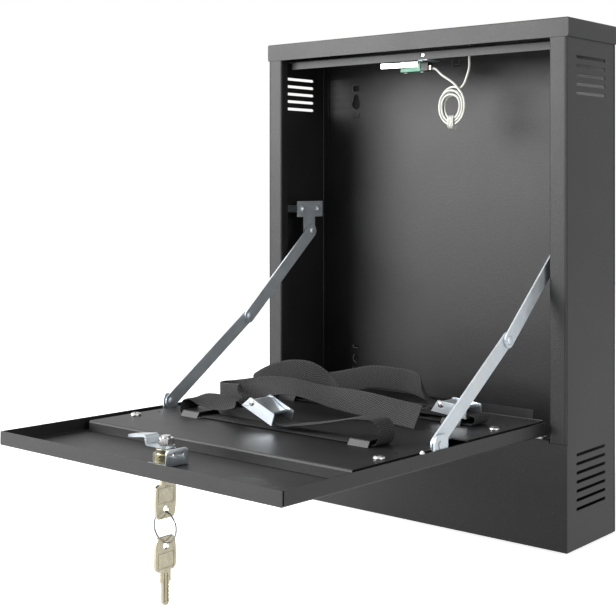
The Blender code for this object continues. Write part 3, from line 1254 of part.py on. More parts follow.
def make_cam(lock_axis):
    """The cranked cam on the plug's tail, trimmed to round ends, and its nut."""
    low = LOCK_NECK_TOP_W + 2 * SEAT_GAP
    hub = CAM_WIDTH / 2
    crank = -CAM_CRANK_REACH
    slant = crank - CAM_CRANK_SLANT
    high = low + CAM_CRANK_RISE
    tip = -CAM_LENGTH
    path = [(tip - CUT_OVERRUN, high - CAM_TIP_DROOP), (slant, high), (crank, low),
            (hub + CUT_OVERRUN, low)]
    bm = bmesh.new()
    section = sheet_section(path, CAM_THICKNESS, CAM_THICKNESS / 2, 3)
    extrude(bm, [section], "y", LOCK_U - hub, LOCK_U + hub, lock_place)
    cam = finish("lock_cam", bm, zinc(), lock_axis)
    plan = bmesh.new()
    outline = stadium((tip + hub, LOCK_U), (0.0, LOCK_U), hub - SEAT_GAP / 3, 8)
    hole = circle((0.0, LOCK_U), PLUG_TAIL_RADIUS + SEAT_GAP, 20)
    extrude(plan, [outline, hole], "z", low - CUT_OVERRUN, high + CUT_OVERRUN + CAM_THICKNESS,
            lock_place)
    boolean(cam, plan, "INTERSECT", "lock_cam_plan")
    nut = bmesh.new()
    seat = low + CAM_THICKNESS + SEAT_GAP
    corner = NUT_ACROSS_FLATS / math.sqrt(3)
    hexagon = [(corner * math.cos(math.radians(60 * i + 30)),
                LOCK_U + corner * math.sin(math.radians(60 * i + 30))) for i in range(6)]
    bore = circle((0.0, LOCK_U), PLUG_TAIL_RADIUS + SEAT_GAP, 20)
    extrude(nut, [hexagon, bore], "z", seat, seat + NUT_HEIGHT, lock_place)
    piece = finish("cam_nut", nut, bright_steel(), lock_axis)
    shape = bmesh.new()
    chamfer = corner - NUT_ACROSS_FLATS / 2
    turned(shape, [(seat - SEAT_GAP, 0), (seat - SEAT_GAP, corner - chamfer / 2),
                   (seat + chamfer, corner + SEAT_GAP),
                   (seat + NUT_HEIGHT - chamfer, corner + SEAT_GAP),
                   (seat + NUT_HEIGHT + SEAT_GAP, corner - chamfer),
                   (seat + NUT_HEIGHT + SEAT_GAP, 0)], "z", (0.0, LOCK_U), 18, lock_place)
    boolean(piece, shape, "INTERSECT", "cam_nut_chamfer")


def key_mesh(name):
    """A flat key hanging down: its bow's top at the origin's height, its blade's end below."""
    outline = []
    back = []
    for down, half in KEY_BOW_WIDTH_SHARES:
        outline.append((half * KEY_BOW_WIDTH, -down * KEY_BOW_LENGTH))
        back.append((-half * KEY_BOW_WIDTH, -down * KEY_BOW_LENGTH))
    neck_end = KEY_BOW_LENGTH + KEY_NECK_LENGTH
    neck = KEY_NECK_WIDTH / 2
    blade = KEY_BLADE_WIDTH / 2
    blade_length = KEY_LENGTH - neck_end
    outline += [(neck, -KEY_BOW_LENGTH), (neck, -neck_end), (blade, -neck_end)]
    for share in KEY_CUT_SHARES:
        top = -neck_end - share * blade_length
        outline += [(blade, top + KEY_CUT_DEPTH), (blade - KEY_CUT_DEPTH, top),
                    (blade, top - KEY_CUT_DEPTH)]
    outline += [(blade, -KEY_LENGTH + blade / 2), (blade / 2, -KEY_LENGTH),
                (-blade / 2, -KEY_LENGTH), (-blade, -KEY_LENGTH + blade / 2),
                (-blade, -neck_end), (-neck, -neck_end), (-neck, -KEY_BOW_LENGTH)]
    outline += back[::-1]
    hole = circle((0.0, -KEY_HOLE_INSET), KEY_HOLE_RADIUS, 16)
    bm = bmesh.new()
    extrude(bm, [outline, hole], "x", -KEY_THICKNESS / 2, KEY_THICKNESS / 2)
    return shared_mesh(name, bm, nickel_silver())


def make_keys(lock_axis):
    """One key in the lock, bow down; the ring through its bow; the spare key on the ring."""
    mesh = key_mesh("key")
    bow_end = KEY_BOW_TOP_DROP + KEY_BOW_LENGTH
    add_copy("inserted_key", mesh, lock_axis, (0.0, 0.0, -bow_end), math.pi)
    hole_w = -bow_end + KEY_HOLE_INSET
    rest = KEY_HOLE_RADIUS - KEY_RING_WIRE - SEAT_GAP
    hang = group("key_ring_axis", lock_axis, (0.0, 0.0, hole_w - rest), TILT)
    bm = bmesh.new()
    torus(bm, (0.0, 0.0, -KEY_RING_RADIUS), KEY_RING_RADIUS, KEY_RING_WIRE, 32, 8)
    finish("key_ring", bm, bright_steel(), hang)
    spare = group("spare_key_axis", hang, (0.0, 0.0, -2 * KEY_RING_RADIUS))
    add_copy("spare_key", mesh, spare, (0.0, 0.0, KEY_HOLE_INSET - rest))


def torus(bm, centre, radius, wire, steps, around):
    """A wire ring in the x-z plane."""
    rings = []
    for i in range(steps):
        angle = 2 * math.pi * i / steps
        ray = Vector((math.cos(angle), 0.0, math.sin(angle)))
        ring = []
        for j in range(around):
            turn = 2 * math.pi * j / around
            out = radius + wire * math.cos(turn)
            spot = Vector(centre) + ray * out + Vector((0.0, wire * math.sin(turn), 0.0))
            ring.append(bm.verts.new(spot))
        rings.append(ring)
    for i in range(steps):
        for j in range(around):
            k = (j + 1) % around
            here, after = rings[i], rings[(i + 1) % steps]
            bm.faces.new((here[j], here[k], after[k], after[j]))


def make_switch(cabinet):
    """The tamper switch: body, bracket, screws, terminals and its sprung lever."""
    x0, x1 = SWITCH_LEFT_X, SWITCH_LEFT_X + SWITCH_LENGTH
    y0, y1 = SWITCH_FRONT_Y, SWITCH_FRONT_Y + SWITCH_DEPTH
    z1 = SWITCH_TOP_Z
    z0 = z1 - SWITCH_HEIGHT
    middle = (x0 + x1) / 2
    spacing = SWITCH_LENGTH * SWITCH_HOLE_SPACING_SHARE
    hole_y = (y0 + y1) / 2
    spots = [(middle - spacing / 2, hole_y), (middle + spacing / 2, hole_y)]
    bore = SWITCH_SCREW_RADIUS + SEAT_GAP
    holes = [circle(spot, bore, 12) for spot in spots]
    bm = bmesh.new()
    extrude(bm, [rounded_rectangle(x0, x1, y0, y1, SWITCH_EDGE, 2)] + holes, "z", z0, z1)
    finish("tamper_switch", bm, material("switch_green", (0.05, 0.33, 0.20), 0.35), cabinet)

    plate_low = z1 + SEAT_GAP
    plate_high = plate_low + SWITCH_PLATE
    hook_x0, hook_x1 = BRACKET_TONGUE_X, BRACKET_TONGUE_X + BRACKET_TONGUE_WIDTH
    tab_y = STOP_ANGLE_SETBACK + SHEET + SEAT_GAP
    outline = [(x0, y0), (x0 + SWITCH_EDGE, y0 - SWITCH_EDGE), (hook_x0, y0 - SWITCH_EDGE),
               (hook_x0, tab_y), (hook_x1, tab_y), (hook_x1, y1), (x0, y1)]
    plate = bmesh.new()
    extrude(plate, [outline] + [circle(spot, bore, 12) for spot in spots], "z",
            plate_low, plate_high)
    bracket = finish("switch_bracket", plate, zinc(), cabinet)
    tab = bmesh.new()
    tab_top = STOP_TOP_Z - SHEET - BEND - SEAT_GAP
    box(tab, (hook_x0 + SEAT_GAP, hook_x1 - SEAT_GAP), (tab_y, tab_y + SWITCH_PLATE),
        (plate_low + SWITCH_PLATE / 2, tab_top))
    boolean(bracket, tab, "UNION", "switch_bracket_tab")

    head = z0 - SEAT_GAP
    end = plate_high + SWITCH_PLATE
    profile = [(end, 0), (end, SWITCH_SCREW_RADIUS)]
    profile += domed_head(head, head - SWITCH_SCREW_HEAD_HEIGHT, SWITCH_SCREW_HEAD_RADIUS,
                          SWITCH_SCREW_RADIUS, 3)
    screw = bmesh.new()
    turned(screw, profile, "z", (0.0, 0.0), 12)
    mesh = shared_mesh("switch_screw", screw, bright_steel())
    for number, (x, y) in enumerate(spots, 1):
        add_copy(f"switch_screw_{number}", mesh, cabinet, (x, y, 0.0))

    block = bmesh.new()
    start = x1 + SEAT_GAP
    top = z1 - SWITCH_EDGE
    extrude(block, [rounded_rectangle(y0 + SWITCH_EDGE, y0 + SWITCH_EDGE + TERMINAL_DEPTH,
                                      top - TERMINAL_HEIGHT, top, SWITCH_EDGE, 2)],
            "x", start, start + TERMINAL_LENGTH)
    finish("switch_terminals", block, material("terminal_black", (0.03, 0.022, 0.022), 0.45),
           cabinet)

    pivot = group("tamper_lever_axis", cabinet,
                  (x1 - LEVER_FOOT_LENGTH, y0 - LEVER_SETBACK, z1 - LEVER_WIDTH),
                  0.0, math.radians(LEVER_REST_DEG))
    lever = bmesh.new()
    thick = LEVER_THICKNESS
    outline = [(0.0, 0.0), (0.0, thick)] + [(-LEVER_LENGTH + thick, thick)]
    outline += [(-LEVER_LENGTH, thick / 2), (-LEVER_LENGTH + thick, 0.0)]
    extrude(lever, [outline], "z", 0.0, LEVER_WIDTH)
    finish("tamper_lever", lever, material("lever_bright", (0.88, 0.88, 0.86), 0.25, 0.4), pivot)


def coil_points():
    """The lead's turns: in across the front layer, then out across the rear one.

    The turns crowd together at the bottom, where the tie holds them, and fan out at the top.
    """
    points = []
    total = round(COIL_TURNS * COIL_POINTS_PER_TURN)
    half = COIL_TURNS / 2
    for i in range(total + 1):
        turns = i / COIL_POINTS_PER_TURN
        angle = math.radians(COIL_START_DEG) - 2 * math.pi * turns
        inward = turns if turns < half else COIL_TURNS - turns
        climb = min(max((turns - half) / COIL_CLIMB_TURNS + 0.5, 0.0), 1.0)
        depth = LEAD_Y + COIL_LAYER_STEP * (climb * climb * (3 - 2 * climb))
        draw = COIL_PITCH * inward
        fan = 1 + COIL_CROWN_SHARE * max(math.sin(angle), 0.0)
        x = (COIL_HALF_WIDTH - draw) * math.cos(angle)
        z = (COIL_HALF_HEIGHT - draw * fan) * math.sin(angle)
        points.append(Vector((COIL_CENTRE_X + x, depth, COIL_CENTRE_Z + z)))
    return points


def least_self_gap(points, skip):
    """Least clear distance between turns of a tube through these points."""
    least = None
    for i, first in enumerate(points):
        for second in points[i + skip:]:
            gap = (first - second).length - LEAD_DIAMETER
            least = gap if least is None else min(least, gap)
    return least


def make_lead(cabinet):
    """The switch's lead: out of the terminals, round the coil and up through its grommet."""
    white = material("lead_white", (0.86, 0.86, 0.84), 0.45)
    turns = coil_points()
    gap = least_self_gap(turns, COIL_POINTS_PER_TURN // 2)
    print("least gap between the coil's turns, metres:", round(gap, 5))
    tube("tamper_lead_coil", turns, LEAD_DIAMETER / 2, white, cabinet, 1)
    entry, leaving = turns[0], turns[-1]
    into = (turns[0] - turns[1]).normalized()
    out = (turns[-1] - turns[-2]).normalized()
    terminal_x = SWITCH_LEFT_X + SWITCH_LENGTH + SEAT_GAP + TERMINAL_LENGTH + SEAT_GAP
    terminal_z = SWITCH_TOP_Z - SWITCH_EDGE - TERMINAL_HEIGHT * 0.75
    start = Vector((terminal_x, LEAD_Y, terminal_z))
    size = LEAD_DIAMETER
    first = [start, start + Vector((2 * size, 0.0, 0.0)),
             start.lerp(entry, 0.38) + Vector((0.0, 0.0, size)),
             entry + into * (2.5 * size), entry + into * (2 * SEAT_GAP)]
    tube("tamper_lead_to_switch", smooth_route(first, LEAD_POINTS), size / 2, white, cabinet, 1)
    end = Vector((GROMMET_X, grommet_y(), STOP_TOP_Z + 2 * size))
    second = [leaving + out * (2 * SEAT_GAP), leaving + out * (2 * size),
              leaving + Vector((5 * size, -0.3 * size, 0.2 * size)),
              leaving + Vector((7.2 * size, -1.5 * size, 3.6 * size)),
              end - Vector((0.8 * size, -0.8 * size, 8 * size)),
              end - Vector((0.0, 0.0, 3.4 * size)), end]
    tube("tamper_lead_to_grommet", smooth_route(second, LEAD_POINTS), size / 2, white, cabinet, 1)
    bm = bmesh.new()
    low = STOP_TOP_Z - SHEET - SEAT_GAP
    high = STOP_TOP_Z + SEAT_GAP
    bore = LEAD_DIAMETER / 2 + SEAT_GAP
    profile = [(low - GROMMET_FLANGE, bore), (low - GROMMET_FLANGE, GROMMET_RADIUS),
               (low, GROMMET_RADIUS), (low, GROMMET_GROOVE_RADIUS),
               (high, GROMMET_GROOVE_RADIUS), (high, GROMMET_RADIUS),
               (high + GROMMET_FLANGE, GROMMET_RADIUS), (high + GROMMET_FLANGE, bore)]
    turned(bm, profile, "z", (GROMMET_X, grommet_y()), 16, closed=True)
    finish("lead_grommet", bm, material("grommet_rubber", (0.02, 0.02, 0.02), 0.7), cabinet)


def make_lead_tie(cabinet):
    """A tie round the foot of the coil."""
    radius = LEAD_DIAMETER / 2
    low_z = COIL_CENTRE_Z - COIL_HALF_HEIGHT - radius - SEAT_GAP
    drawn = COIL_PITCH * COIL_TURNS / 2
    high_z = COIL_CENTRE_Z - COIL_HALF_HEIGHT + drawn + radius + 2 * SEAT_GAP
    front = LEAD_Y - radius - SEAT_GAP
    back = LEAD_Y + COIL_LAYER_STEP + radius + SEAT_GAP
    wall = TIE_THICKNESS
    inner = rounded_rectangle(front, back, low_z, high_z, radius, 3)
    outer = rounded_rectangle(front - wall, back + wall, low_z - wall, high_z + wall,
                              radius + wall, 3)
    bm = bmesh.new()
    extrude(bm, [outer, inner], "x", COIL_CENTRE_X - TIE_WIDTH / 2, COIL_CENTRE_X + TIE_WIDTH / 2)
    finish("lead_tie", bm, material("tie_white", (0.85, 0.85, 0.83), 0.5), cabinet)


def make_bumper(door_axis):
    """A white nylon pad pressed on the right rim."""
    bm = bmesh.new()
    base = DOOR_RIM_HEIGHT + SEAT_GAP
    profile = [(base, 0)] + domed_head(base, base + BUMPER_HEIGHT, BUMPER_RADIUS,
                                       BUMPER_RADIUS / 2, 3)
    turned(bm, profile, "z", (RIM_INNER_X, BUMPER_U), 12, door_place)
    finish("rim_bumper", bm, material("bumper_white", (0.85, 0.85, 0.83), 0.4), door_axis)


def tray_station(line_u, x_share, u_share, w_share, lean=0.0):
    """A strap station from the shares of the tray's and the webbing's sizes that place it."""
    return Vector((x_share * TRAY_HALF_WIDTH, line_u + u_share * TRAY_LENGTH,
                   TRAY_TOP + w_share * WEBBING_WIDTH, lean))


class Buckle:
    """Where a cam buckle lies: a runs along the webbing towards its entry, c up from its base."""

    def __init__(self, line_u, shares, tilt_deg):
        self.x, self.u, self.w, _ = tray_station(line_u, *shares)
        self.tilt = math.radians(tilt_deg)

    def point(self, a, c):
        """A strap station, with no lean, at a place in the buckle."""
        along = a * math.cos(self.tilt) + c * math.sin(self.tilt)
        up = c * math.cos(self.tilt) - a * math.sin(self.tilt)
        return Vector((self.x + along, self.u, self.w + up, 0.0))


def front_buckle():
    return Buckle(FRONT_STRAP_U, FRONT_BUCKLE_SHARES, FRONT_BUCKLE_TILT_DEG)


def rear_buckle():
    return Buckle(REAR_STRAP_U, REAR_BUCKLE_SHARES, REAR_BUCKLE_TILT_DEG)


def buckle_pin_place():
    return -BUCKLE_LENGTH / 2 + BUCKLE_PIN_INSET, BUCKLE_PIN_HEIGHT


def bar_wrap(buckle):
    """The webbing's sewn end: over the bar, down through the slot and back underneath."""
    bar_edge = -BUCKLE_LENGTH / 2 + BUCKLE_BAR_WIDTH
    thick = WEBBING_THICKNESS
    over = BUCKLE_PLATE + SEAT_GAP + thick / 2
    under = -SEAT_GAP - thick / 2
    middle = (over + under) / 2
    turn = bar_edge + thick + SEAT_GAP
    places = [(bar_edge - 7 * thick, over - thick / 2), (bar_edge - 4 * thick, over - thick / 6),
              (bar_edge - thick, over), (turn - thick / 2, over - thick / 3), (turn, middle),
              (turn - thick / 2, under + thick / 3), (bar_edge - thick, under),
              (bar_edge - 4 * thick, under), (bar_edge - 8 * thick, under)]
    return [buckle.point(a, c) for a, c in places]


def buckle_pass(buckle):
    """The webbing's way in over the base, under the cam and out over its own sewn end."""
    half = BUCKLE_LENGTH / 2
    thick = WEBBING_THICKNESS
    low = BUCKLE_PLATE + SEAT_GAP + thick / 2
    high = low + thick + SEAT_GAP
    pin_a = buckle_pin_place()[0]
    places = [(half + 2 * thick, low + thick / 3), (half - 2 * thick, low),
              (pin_a + 4 * thick, low), (pin_a + thick, low + thick / 8),
              (pin_a - thick, low + thick / 2), (pin_a - 3.6 * thick, high),
              (-half, high + thick / 8), (-half - 2 * thick, high + thick / 4)]
    return [buckle.point(a, c) for a, c in places]


def bridge_pass(side, line_u, bend_shares):
    """Over the tray, under a bridge, and round the bend beyond it."""
    thick = WEBBING_THICKNESS
    over = TRAY_TOP + SEAT_GAP + thick / 2
    half = STRAP_BRIDGE_LENGTH / 2
    inner = STRAP_BRIDGE_X - half
    outer = STRAP_BRIDGE_X + half
    run, bulge, height = (share * WEBBING_WIDTH for share in bend_shares[:3])
    shift = bend_shares[3] * TRAY_LENGTH
    stations = [(inner - STRAP_BRIDGE_LENGTH, line_u, over), (inner, line_u, over),
                (outer + run - thick, line_u, over)]
    for turn in BEND_TURNS_DEG:
        angle = math.radians(turn)
        risen = (1 + math.sin(angle)) / 2
        stations.append((outer + run + bulge * math.cos(angle), line_u + shift * risen,
                         over + height * risen))
    return [Vector((side * x, u, w, 0.0)) for x, u, w in stations]


def free_run(line_u, shares):
    return [tray_station(line_u, *row) for row in shares]


def front_strap_route():
    buckle = front_buckle()
    u = FRONT_STRAP_U
    return (bar_wrap(buckle) + free_run(u, FRONT_LEFT_SHARES)
            + bridge_pass(-1, u, FRONT_LEFT_BEND_SHARES)[::-1]
            + bridge_pass(1, u, FRONT_RIGHT_BEND_SHARES) + free_run(u, FRONT_RIGHT_SHARES)
            + buckle_pass(buckle) + free_run(u, FRONT_TAIL_SHARES))


def rear_strap_route():
    buckle = rear_buckle()
    u = REAR_STRAP_U
    return (bar_wrap(buckle) + free_run(u, REAR_LEFT_SHARES)
            + bridge_pass(-1, u, REAR_LEFT_BEND_SHARES)[::-1]
            + bridge_pass(1, u, REAR_RIGHT_BEND_SHARES) + buckle_pass(buckle)
            + free_run(u, REAR_TAIL_SHARES))


def strap_stations(route):
    """Smooth stations along a strap, as (place, lean), closer where it turns or twists."""
    spots = flowing([station.xyz for station in route], 12)
    leans = []
    for first, second in zip(route, route[1:]):
        leans += [first.w + (second.w - first.w) * step / 12 for step in range(12)]
    leans.append(route[-1].w)
    limit = math.radians(WEBBING_TURN_LIMIT_DEG)
    kept = [0]
    turned_by = 0.0
    for i in range(1, len(spots) - 1):
        turned_by += (spots[i] - spots[i - 1]).angle(spots[i + 1] - spots[i])
        twisted = abs(math.radians(leans[i] - leans[kept[-1]]))
        far = (spots[i] - spots[kept[-1]]).length
        if turned_by + twisted > limit or far > WEBBING_LONGEST_STEP:
            kept.append(i)
            turned_by = 0.0
    kept.append(len(spots) - 1)
    stations = []
    for i in kept:
        ahead = spots[min(i + 1, len(spots) - 1)] - spots[max(i - 1, 0)]
        stations.append((spots[i], ahead.normalized(), math.radians(leans[i])))
    return stations


def make_strap(name, route, door_axis):
    """A flat webbing strap that follows its route."""
    bm = bmesh.new()
    rings = []
    for spot, ahead, lean in strap_stations(route):
        across = Vector((0.0, math.cos(lean), math.sin(lean)))
        across = (across - ahead * across.dot(ahead)).normalized() * WEBBING_WIDTH / 2
        out = ahead.cross(across).normalized() * WEBBING_THICKNESS / 2
        corners = (spot + across + out, spot - across + out, spot - across - out,
                   spot + across - out)
        rings.append([bm.verts.new(door_place(*corner)) for corner in corners])
    for first, second in zip(rings, rings[1:]):
        for i in range(4):
            j = (i + 1) % 4
            bm.faces.new((first[i], first[j], second[j], second[i]))
    bm.faces.new(rings[0])
    bm.faces.new(rings[-1])
    finish(name, bm, webbing(), door_axis)


def buckle_frame_mesh(parent, name):
    """A folded frame: base with the bar's slot, and two cheeks with holes for the pin."""
    half = BUCKLE_LENGTH / 2
    inner = WEBBING_WIDTH / 2 + BUCKLE_SIDE_GAP
    base = bmesh.new()
    edge = inner + BUCKLE_PLATE / 2
    slot_start = -half + BUCKLE_BAR_WIDTH
    slot_half = WEBBING_WIDTH / 2 + SEAT_GAP
    extrude(base, [rectangle(-half + SEAT_GAP, half - SEAT_GAP, -edge, edge),
                   rounded_rectangle(slot_start, slot_start + BUCKLE_SLOT_WIDTH, -slot_half,
                                     slot_half, SHEET / 2, 2)], "z", 0.0, BUCKLE_PLATE)
    frame = finish(name, base, zinc(), parent)
    top = BUCKLE_CHEEK_HEIGHT
    corner = BUCKLE_PLATE
    outline = [(-half, -SEAT_GAP), (half, -SEAT_GAP)]
    outline += arc((half - corner * 1.5, top - corner), corner, 0, 90, 3)
    outline += arc((-half + BUCKLE_CHEEK_SLANT + corner, top - corner), corner, 90, 150, 3)
    hole = circle(buckle_pin_place(), BUCKLE_PIN_RADIUS + SEAT_GAP, 12)
    cheeks = bmesh.new()
    for side in (-1, 1):
        reach = sorted((side * inner, side * (inner + BUCKLE_PLATE)))
        extrude(cheeks, [outline, hole], "y", *reach)
    boolean(frame, cheeks, "UNION", name + "_cheeks")
    return frame


def make_buckle(word, buckle, door_axis):
    """A cam buckle: its folded frame, and the cam lever on a pin through both cheeks."""
    rest = group("buckle_" + word, door_axis, door_place(buckle.x, buckle.u, buckle.w))
    rest.rotation_euler = (0.0, buckle.tilt, 0.0)
    buckle_frame_mesh(rest, "buckle_frame_" + word)
    pin_a, pin_c = buckle_pin_place()
    pivot = group("buckle_lever_axis_" + word, rest, (pin_a, 0.0, pin_c))
    radius = BUCKLE_CAM_RADIUS
    reach = BUCKLE_LEVER_REACH
    thick = BUCKLE_LEVER_THICKNESS
    tail = radius - BUCKLE_LEVER_DROP
    outline = arc((0.0, 0.0), radius, 90, 315, 9)
    outline += [(radius * 1.3, 0.0), (reach - thick, tail - thick), (reach, tail - thick),
                (reach, tail + BUCKLE_LIP_HEIGHT), (reach - thick, tail + BUCKLE_LIP_HEIGHT),
                (reach - thick, tail)]
    half = WEBBING_WIDTH / 2
    bm = bmesh.new()
    extrude(bm, [outline], "y", -half, half)
    lever = finish("buckle_lever_" + word, bm, zinc(), pivot)
    pin = bmesh.new()
    head = half + BUCKLE_SIDE_GAP + BUCKLE_PLATE + SEAT_GAP
    top = head + BUCKLE_PIN_HEAD_HEIGHT
    side = domed_head(head, top, BUCKLE_PIN_HEAD_RADIUS, BUCKLE_PIN_RADIUS, 2)
    profile = [(-along, size) for along, size in reversed(side)] + side
    turned(pin, profile, "y", (0.0, 0.0), 12)
    boolean(lever, pin, "UNION", "buckle_pin_" + word)


def build():
    for thing in list(bpy.data.objects):
        bpy.data.objects.remove(thing, do_unlink=True)
    cabinet = group("cabinet_frame", None, (0.0, -CABINET_DEPTH, -CABINET_HEIGHT / 2))
    door_axis = group("door_hinge_axis", cabinet, (0.0, HINGE_Y, HINGE_Z), -TILT)
    lock_axis = group("lock_axis", door_axis, door_place(0.0, LOCK_U, 0.0))
    make_back_panel(cabinet)
    make_side_panel(cabinet, -1, "side_panel_left")
    make_side_panel(cabinet, 1, "side_panel_right")
    make_top_cover(cabinet)
    make_floor(cabinet)
    make_lower_front_panel(cabinet)
    make_post(cabinet, -1, "door_post_left")
    make_post(cabinet, 1, "door_post_right")
    make_stop_angle(cabinet)
    make_hinge(cabinet, door_axis)
    make_door_panel(door_axis)
    make_tray(door_axis)
    make_tray_screws(door_axis)
    make_stays(cabinet, door_axis)
    make_standoffs(cabinet)
    make_lock_barrel(door_axis)
    make_lock_clip(door_axis)
    make_plug(lock_axis)
    make_cam(lock_axis)
    make_keys(lock_axis)
    make_switch(cabinet)
    make_lead(cabinet)
    make_lead_tie(cabinet)
    make_bumper(door_axis)
    make_strap("strap_front", front_strap_route(), door_axis)
    make_strap("strap_rear", rear_strap_route(), door_axis)
    make_buckle("front", front_buckle(), door_axis)
    make_buckle("rear", rear_buckle(), door_axis)


build()
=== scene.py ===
"""Looks of the recorder lock box: finishes, webbing, lock, keys, switch and its lead."""
import json
import math

import bmesh
import bpy
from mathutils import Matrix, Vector
from mathutils.geometry import delaunay_2d_cdt


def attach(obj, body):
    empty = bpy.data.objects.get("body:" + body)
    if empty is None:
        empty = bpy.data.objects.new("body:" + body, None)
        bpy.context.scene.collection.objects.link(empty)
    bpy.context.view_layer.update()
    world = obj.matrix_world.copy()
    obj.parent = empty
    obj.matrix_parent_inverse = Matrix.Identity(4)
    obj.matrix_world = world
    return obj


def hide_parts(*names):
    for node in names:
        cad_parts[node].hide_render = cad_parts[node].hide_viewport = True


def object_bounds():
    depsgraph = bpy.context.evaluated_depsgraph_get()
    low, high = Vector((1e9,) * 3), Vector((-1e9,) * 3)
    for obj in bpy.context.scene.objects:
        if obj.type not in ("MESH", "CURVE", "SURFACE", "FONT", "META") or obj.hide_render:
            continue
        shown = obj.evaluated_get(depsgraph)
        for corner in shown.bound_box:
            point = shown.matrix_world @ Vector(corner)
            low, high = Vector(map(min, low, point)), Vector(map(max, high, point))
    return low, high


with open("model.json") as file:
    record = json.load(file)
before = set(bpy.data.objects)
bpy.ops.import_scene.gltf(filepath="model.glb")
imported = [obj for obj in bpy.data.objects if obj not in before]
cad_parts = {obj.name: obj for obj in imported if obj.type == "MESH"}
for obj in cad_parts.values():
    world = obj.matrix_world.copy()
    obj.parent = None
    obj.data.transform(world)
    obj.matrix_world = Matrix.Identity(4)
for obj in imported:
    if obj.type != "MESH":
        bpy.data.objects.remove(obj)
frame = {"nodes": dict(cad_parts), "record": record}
cad_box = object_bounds()
NODES = frame["nodes"]

# Picture
IMAGE_SIDE = 616
FOCAL_PIXELS = 1238.3
HORIZON_ROW = 184.25
SENSOR = 36.0
CAMERA_PLACE = (0.8003, -1.2140, 0.1005)
CAMERA_HEADING_DEG = 40.24
CAMERA_CLIP_START = 0.01
FLOOR_SIZE = 6.0
FLOOR_DROP = 0.0005
FLOOR_GLOW = 0.80
WHITE = (1.0, 1.0, 1.0, 1.0)
LAMP_TARGET = (0.0, -0.2, 0.0)
WORLD_STRENGTH = 0.14
SOFTBOXES = (
    ("front_softbox", (-1.25, -1.85, 0.80), (1.5, 1.4), 92.0),
    ("top_softbox", (-1.5, -0.85, 1.7), (1.1, 0.8), 13.0),
    ("side_softbox", (2.4, -0.7, 0.6), (1.0, 1.6), 24.0),
)

# Finishes: grain sizes and depths in metres, and colours
COAT_COLOR = (0.020, 0.020, 0.0205)
COAT_DARK = (0.0075, 0.0075, 0.0077)
COAT_PALE = (0.0105, 0.0105, 0.0108)
COAT_SPECK_COLOR = (0.042, 0.042, 0.043)
COAT_SPECULAR = 0.36
COAT_CLOUD_SIZE = 0.060
COAT_SPECK_SIZE = 0.0012
COAT_PEBBLE_SIZE = 0.0018
COAT_PEBBLE_DEPTH = 0.00022
ZINC_METAL = 0.80
STAY_METAL = 0.55
ZINC_COLOR = (0.50, 0.545, 0.58)
ZINC_WARM_COLOR = (0.56, 0.545, 0.49)
ZINC_PALE_SHARE = 1.13
ZINC_PATCH_SIZE = 0.014
ZINC_LINE_SIZE = 0.0012
ZINC_WARM_SIZE = 0.030
ZINC_GRAIN_SIZE = 0.0030
ZINC_GRAIN_DEPTH = 0.00003
STEEL_DARK_SHARE = 0.80
STEEL_MARK_SIZE = 0.006
STEEL_GRAIN_SIZE = 0.0008
STEEL_GRAIN_DEPTH = 0.00002
YARN_SIZE = 0.0006
YARN_DEPTH = 0.00008
# Webbing colours: painted shade in the weave's gaps, painted highlight on the yarn crests
YARN_GAP_PAINTED_SHADE = (0.0020, 0.0020, 0.0022)
YARN_CREST_PAINTED_HIGHLIGHT = (0.19, 0.19, 0.193)
PLASTIC_MOTTLE = 0.06
PLASTIC_FLOW_SIZE = 0.010
PLASTIC_GRAIN_SIZE = 0.0007
PLASTIC_GRAIN_DEPTH = 0.00003
SHARP_DEG = 35.0
WEBBING_SHARP_DEG = 60.0
SOFT_EDGE_DEG = 30.0
SOFT_EDGE_SEGMENTS = 2
CURVE_STEPS = 16

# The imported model's own frames: the cabinet's, and the door's at its hinge
CABINET_SHIFT = Vector((0.0, -0.105, -0.268))
HINGE_PLACE = Vector((0.0, -0.002, 0.113))
DOOR_TILT = math.radians(1.0)

# Switch lead
LEAD_DIAMETER = 0.0025
LEAD_Y = 0.0335
LEAD_START = (0.0124, 0.0335, 0.49735)
LEAD_POINTS = 22
COIL_CENTRE = (0.0400, 0.4545)
COIL_HALF_SIZE = (0.0178, 0.0215)
COIL_PITCH = 0.0031
COIL_LAYER_STEP = 0.0032
COIL_TURNS = 4.94
COIL_CLIMB_TURNS = 0.5
COIL_START_DEG = 55.0
COIL_POINTS_PER_TURN = 24
COIL_CROWN_SHARE = 0.45
GROMMET_PLACE = (0.0700, 0.02385, 0.5210)
SEAT_GAP = 0.0003

# Door, tray and webbing
LOCK_U = 0.3575
TRAY_HALF_WIDTH = 0.167
TRAY_TOP = 0.012
TRAY_LENGTH = 0.315
TRAY_SCREW_INSET = 0.011
TRAY_SCREW_US = (0.06504, 0.25299)
TRAY_SCREW_HEAD_RADIUS = 0.0057
TRAY_SCREW_HEAD_HEIGHT = 0.0030
TRAY_SCREW_RADIUS = 0.0020
TRAY_SCREW_REACH = 0.0075
SCREW_WASHER_HEIGHT = 0.0006
SCREW_DOME_SHARE = 0.97
CROSS_TURNS_DEG = (18.0, 52.0, 31.0, 74.0)
CROSS_REACH_SHARE = 0.55
CROSS_HALF_WIDTH = 0.00055
CROSS_ARM_SHARES = (1.0, 1.02)
CROSS_DEPTH = 0.0016
CUT_OVERRUN = 0.001
FRONT_STRAP_U = 0.205996
REAR_STRAP_U = 0.055993
STRAP_BRIDGE_X = 0.109001
STRAP_BRIDGE_LENGTH = 0.023
WEBBING_WIDTH = 0.025
WEBBING_THICKNESS = 0.0016
WEFT_PITCH = 0.0018
ROWS_PER_WEFT = 3
WARP_COLUMNS = 24
WEAVE_DEPTH = 0.00026
SELVEDGE_START = 0.93
LEAN_SMOOTHING = 8
FRONT_BUCKLE_SHARES = (-0.0868, 0.0111, 0.540)
FRONT_BUCKLE_TILT_DEG = 22.0
REAR_BUCKLE_SHARES = (0.6228, -0.0063, 0.352)
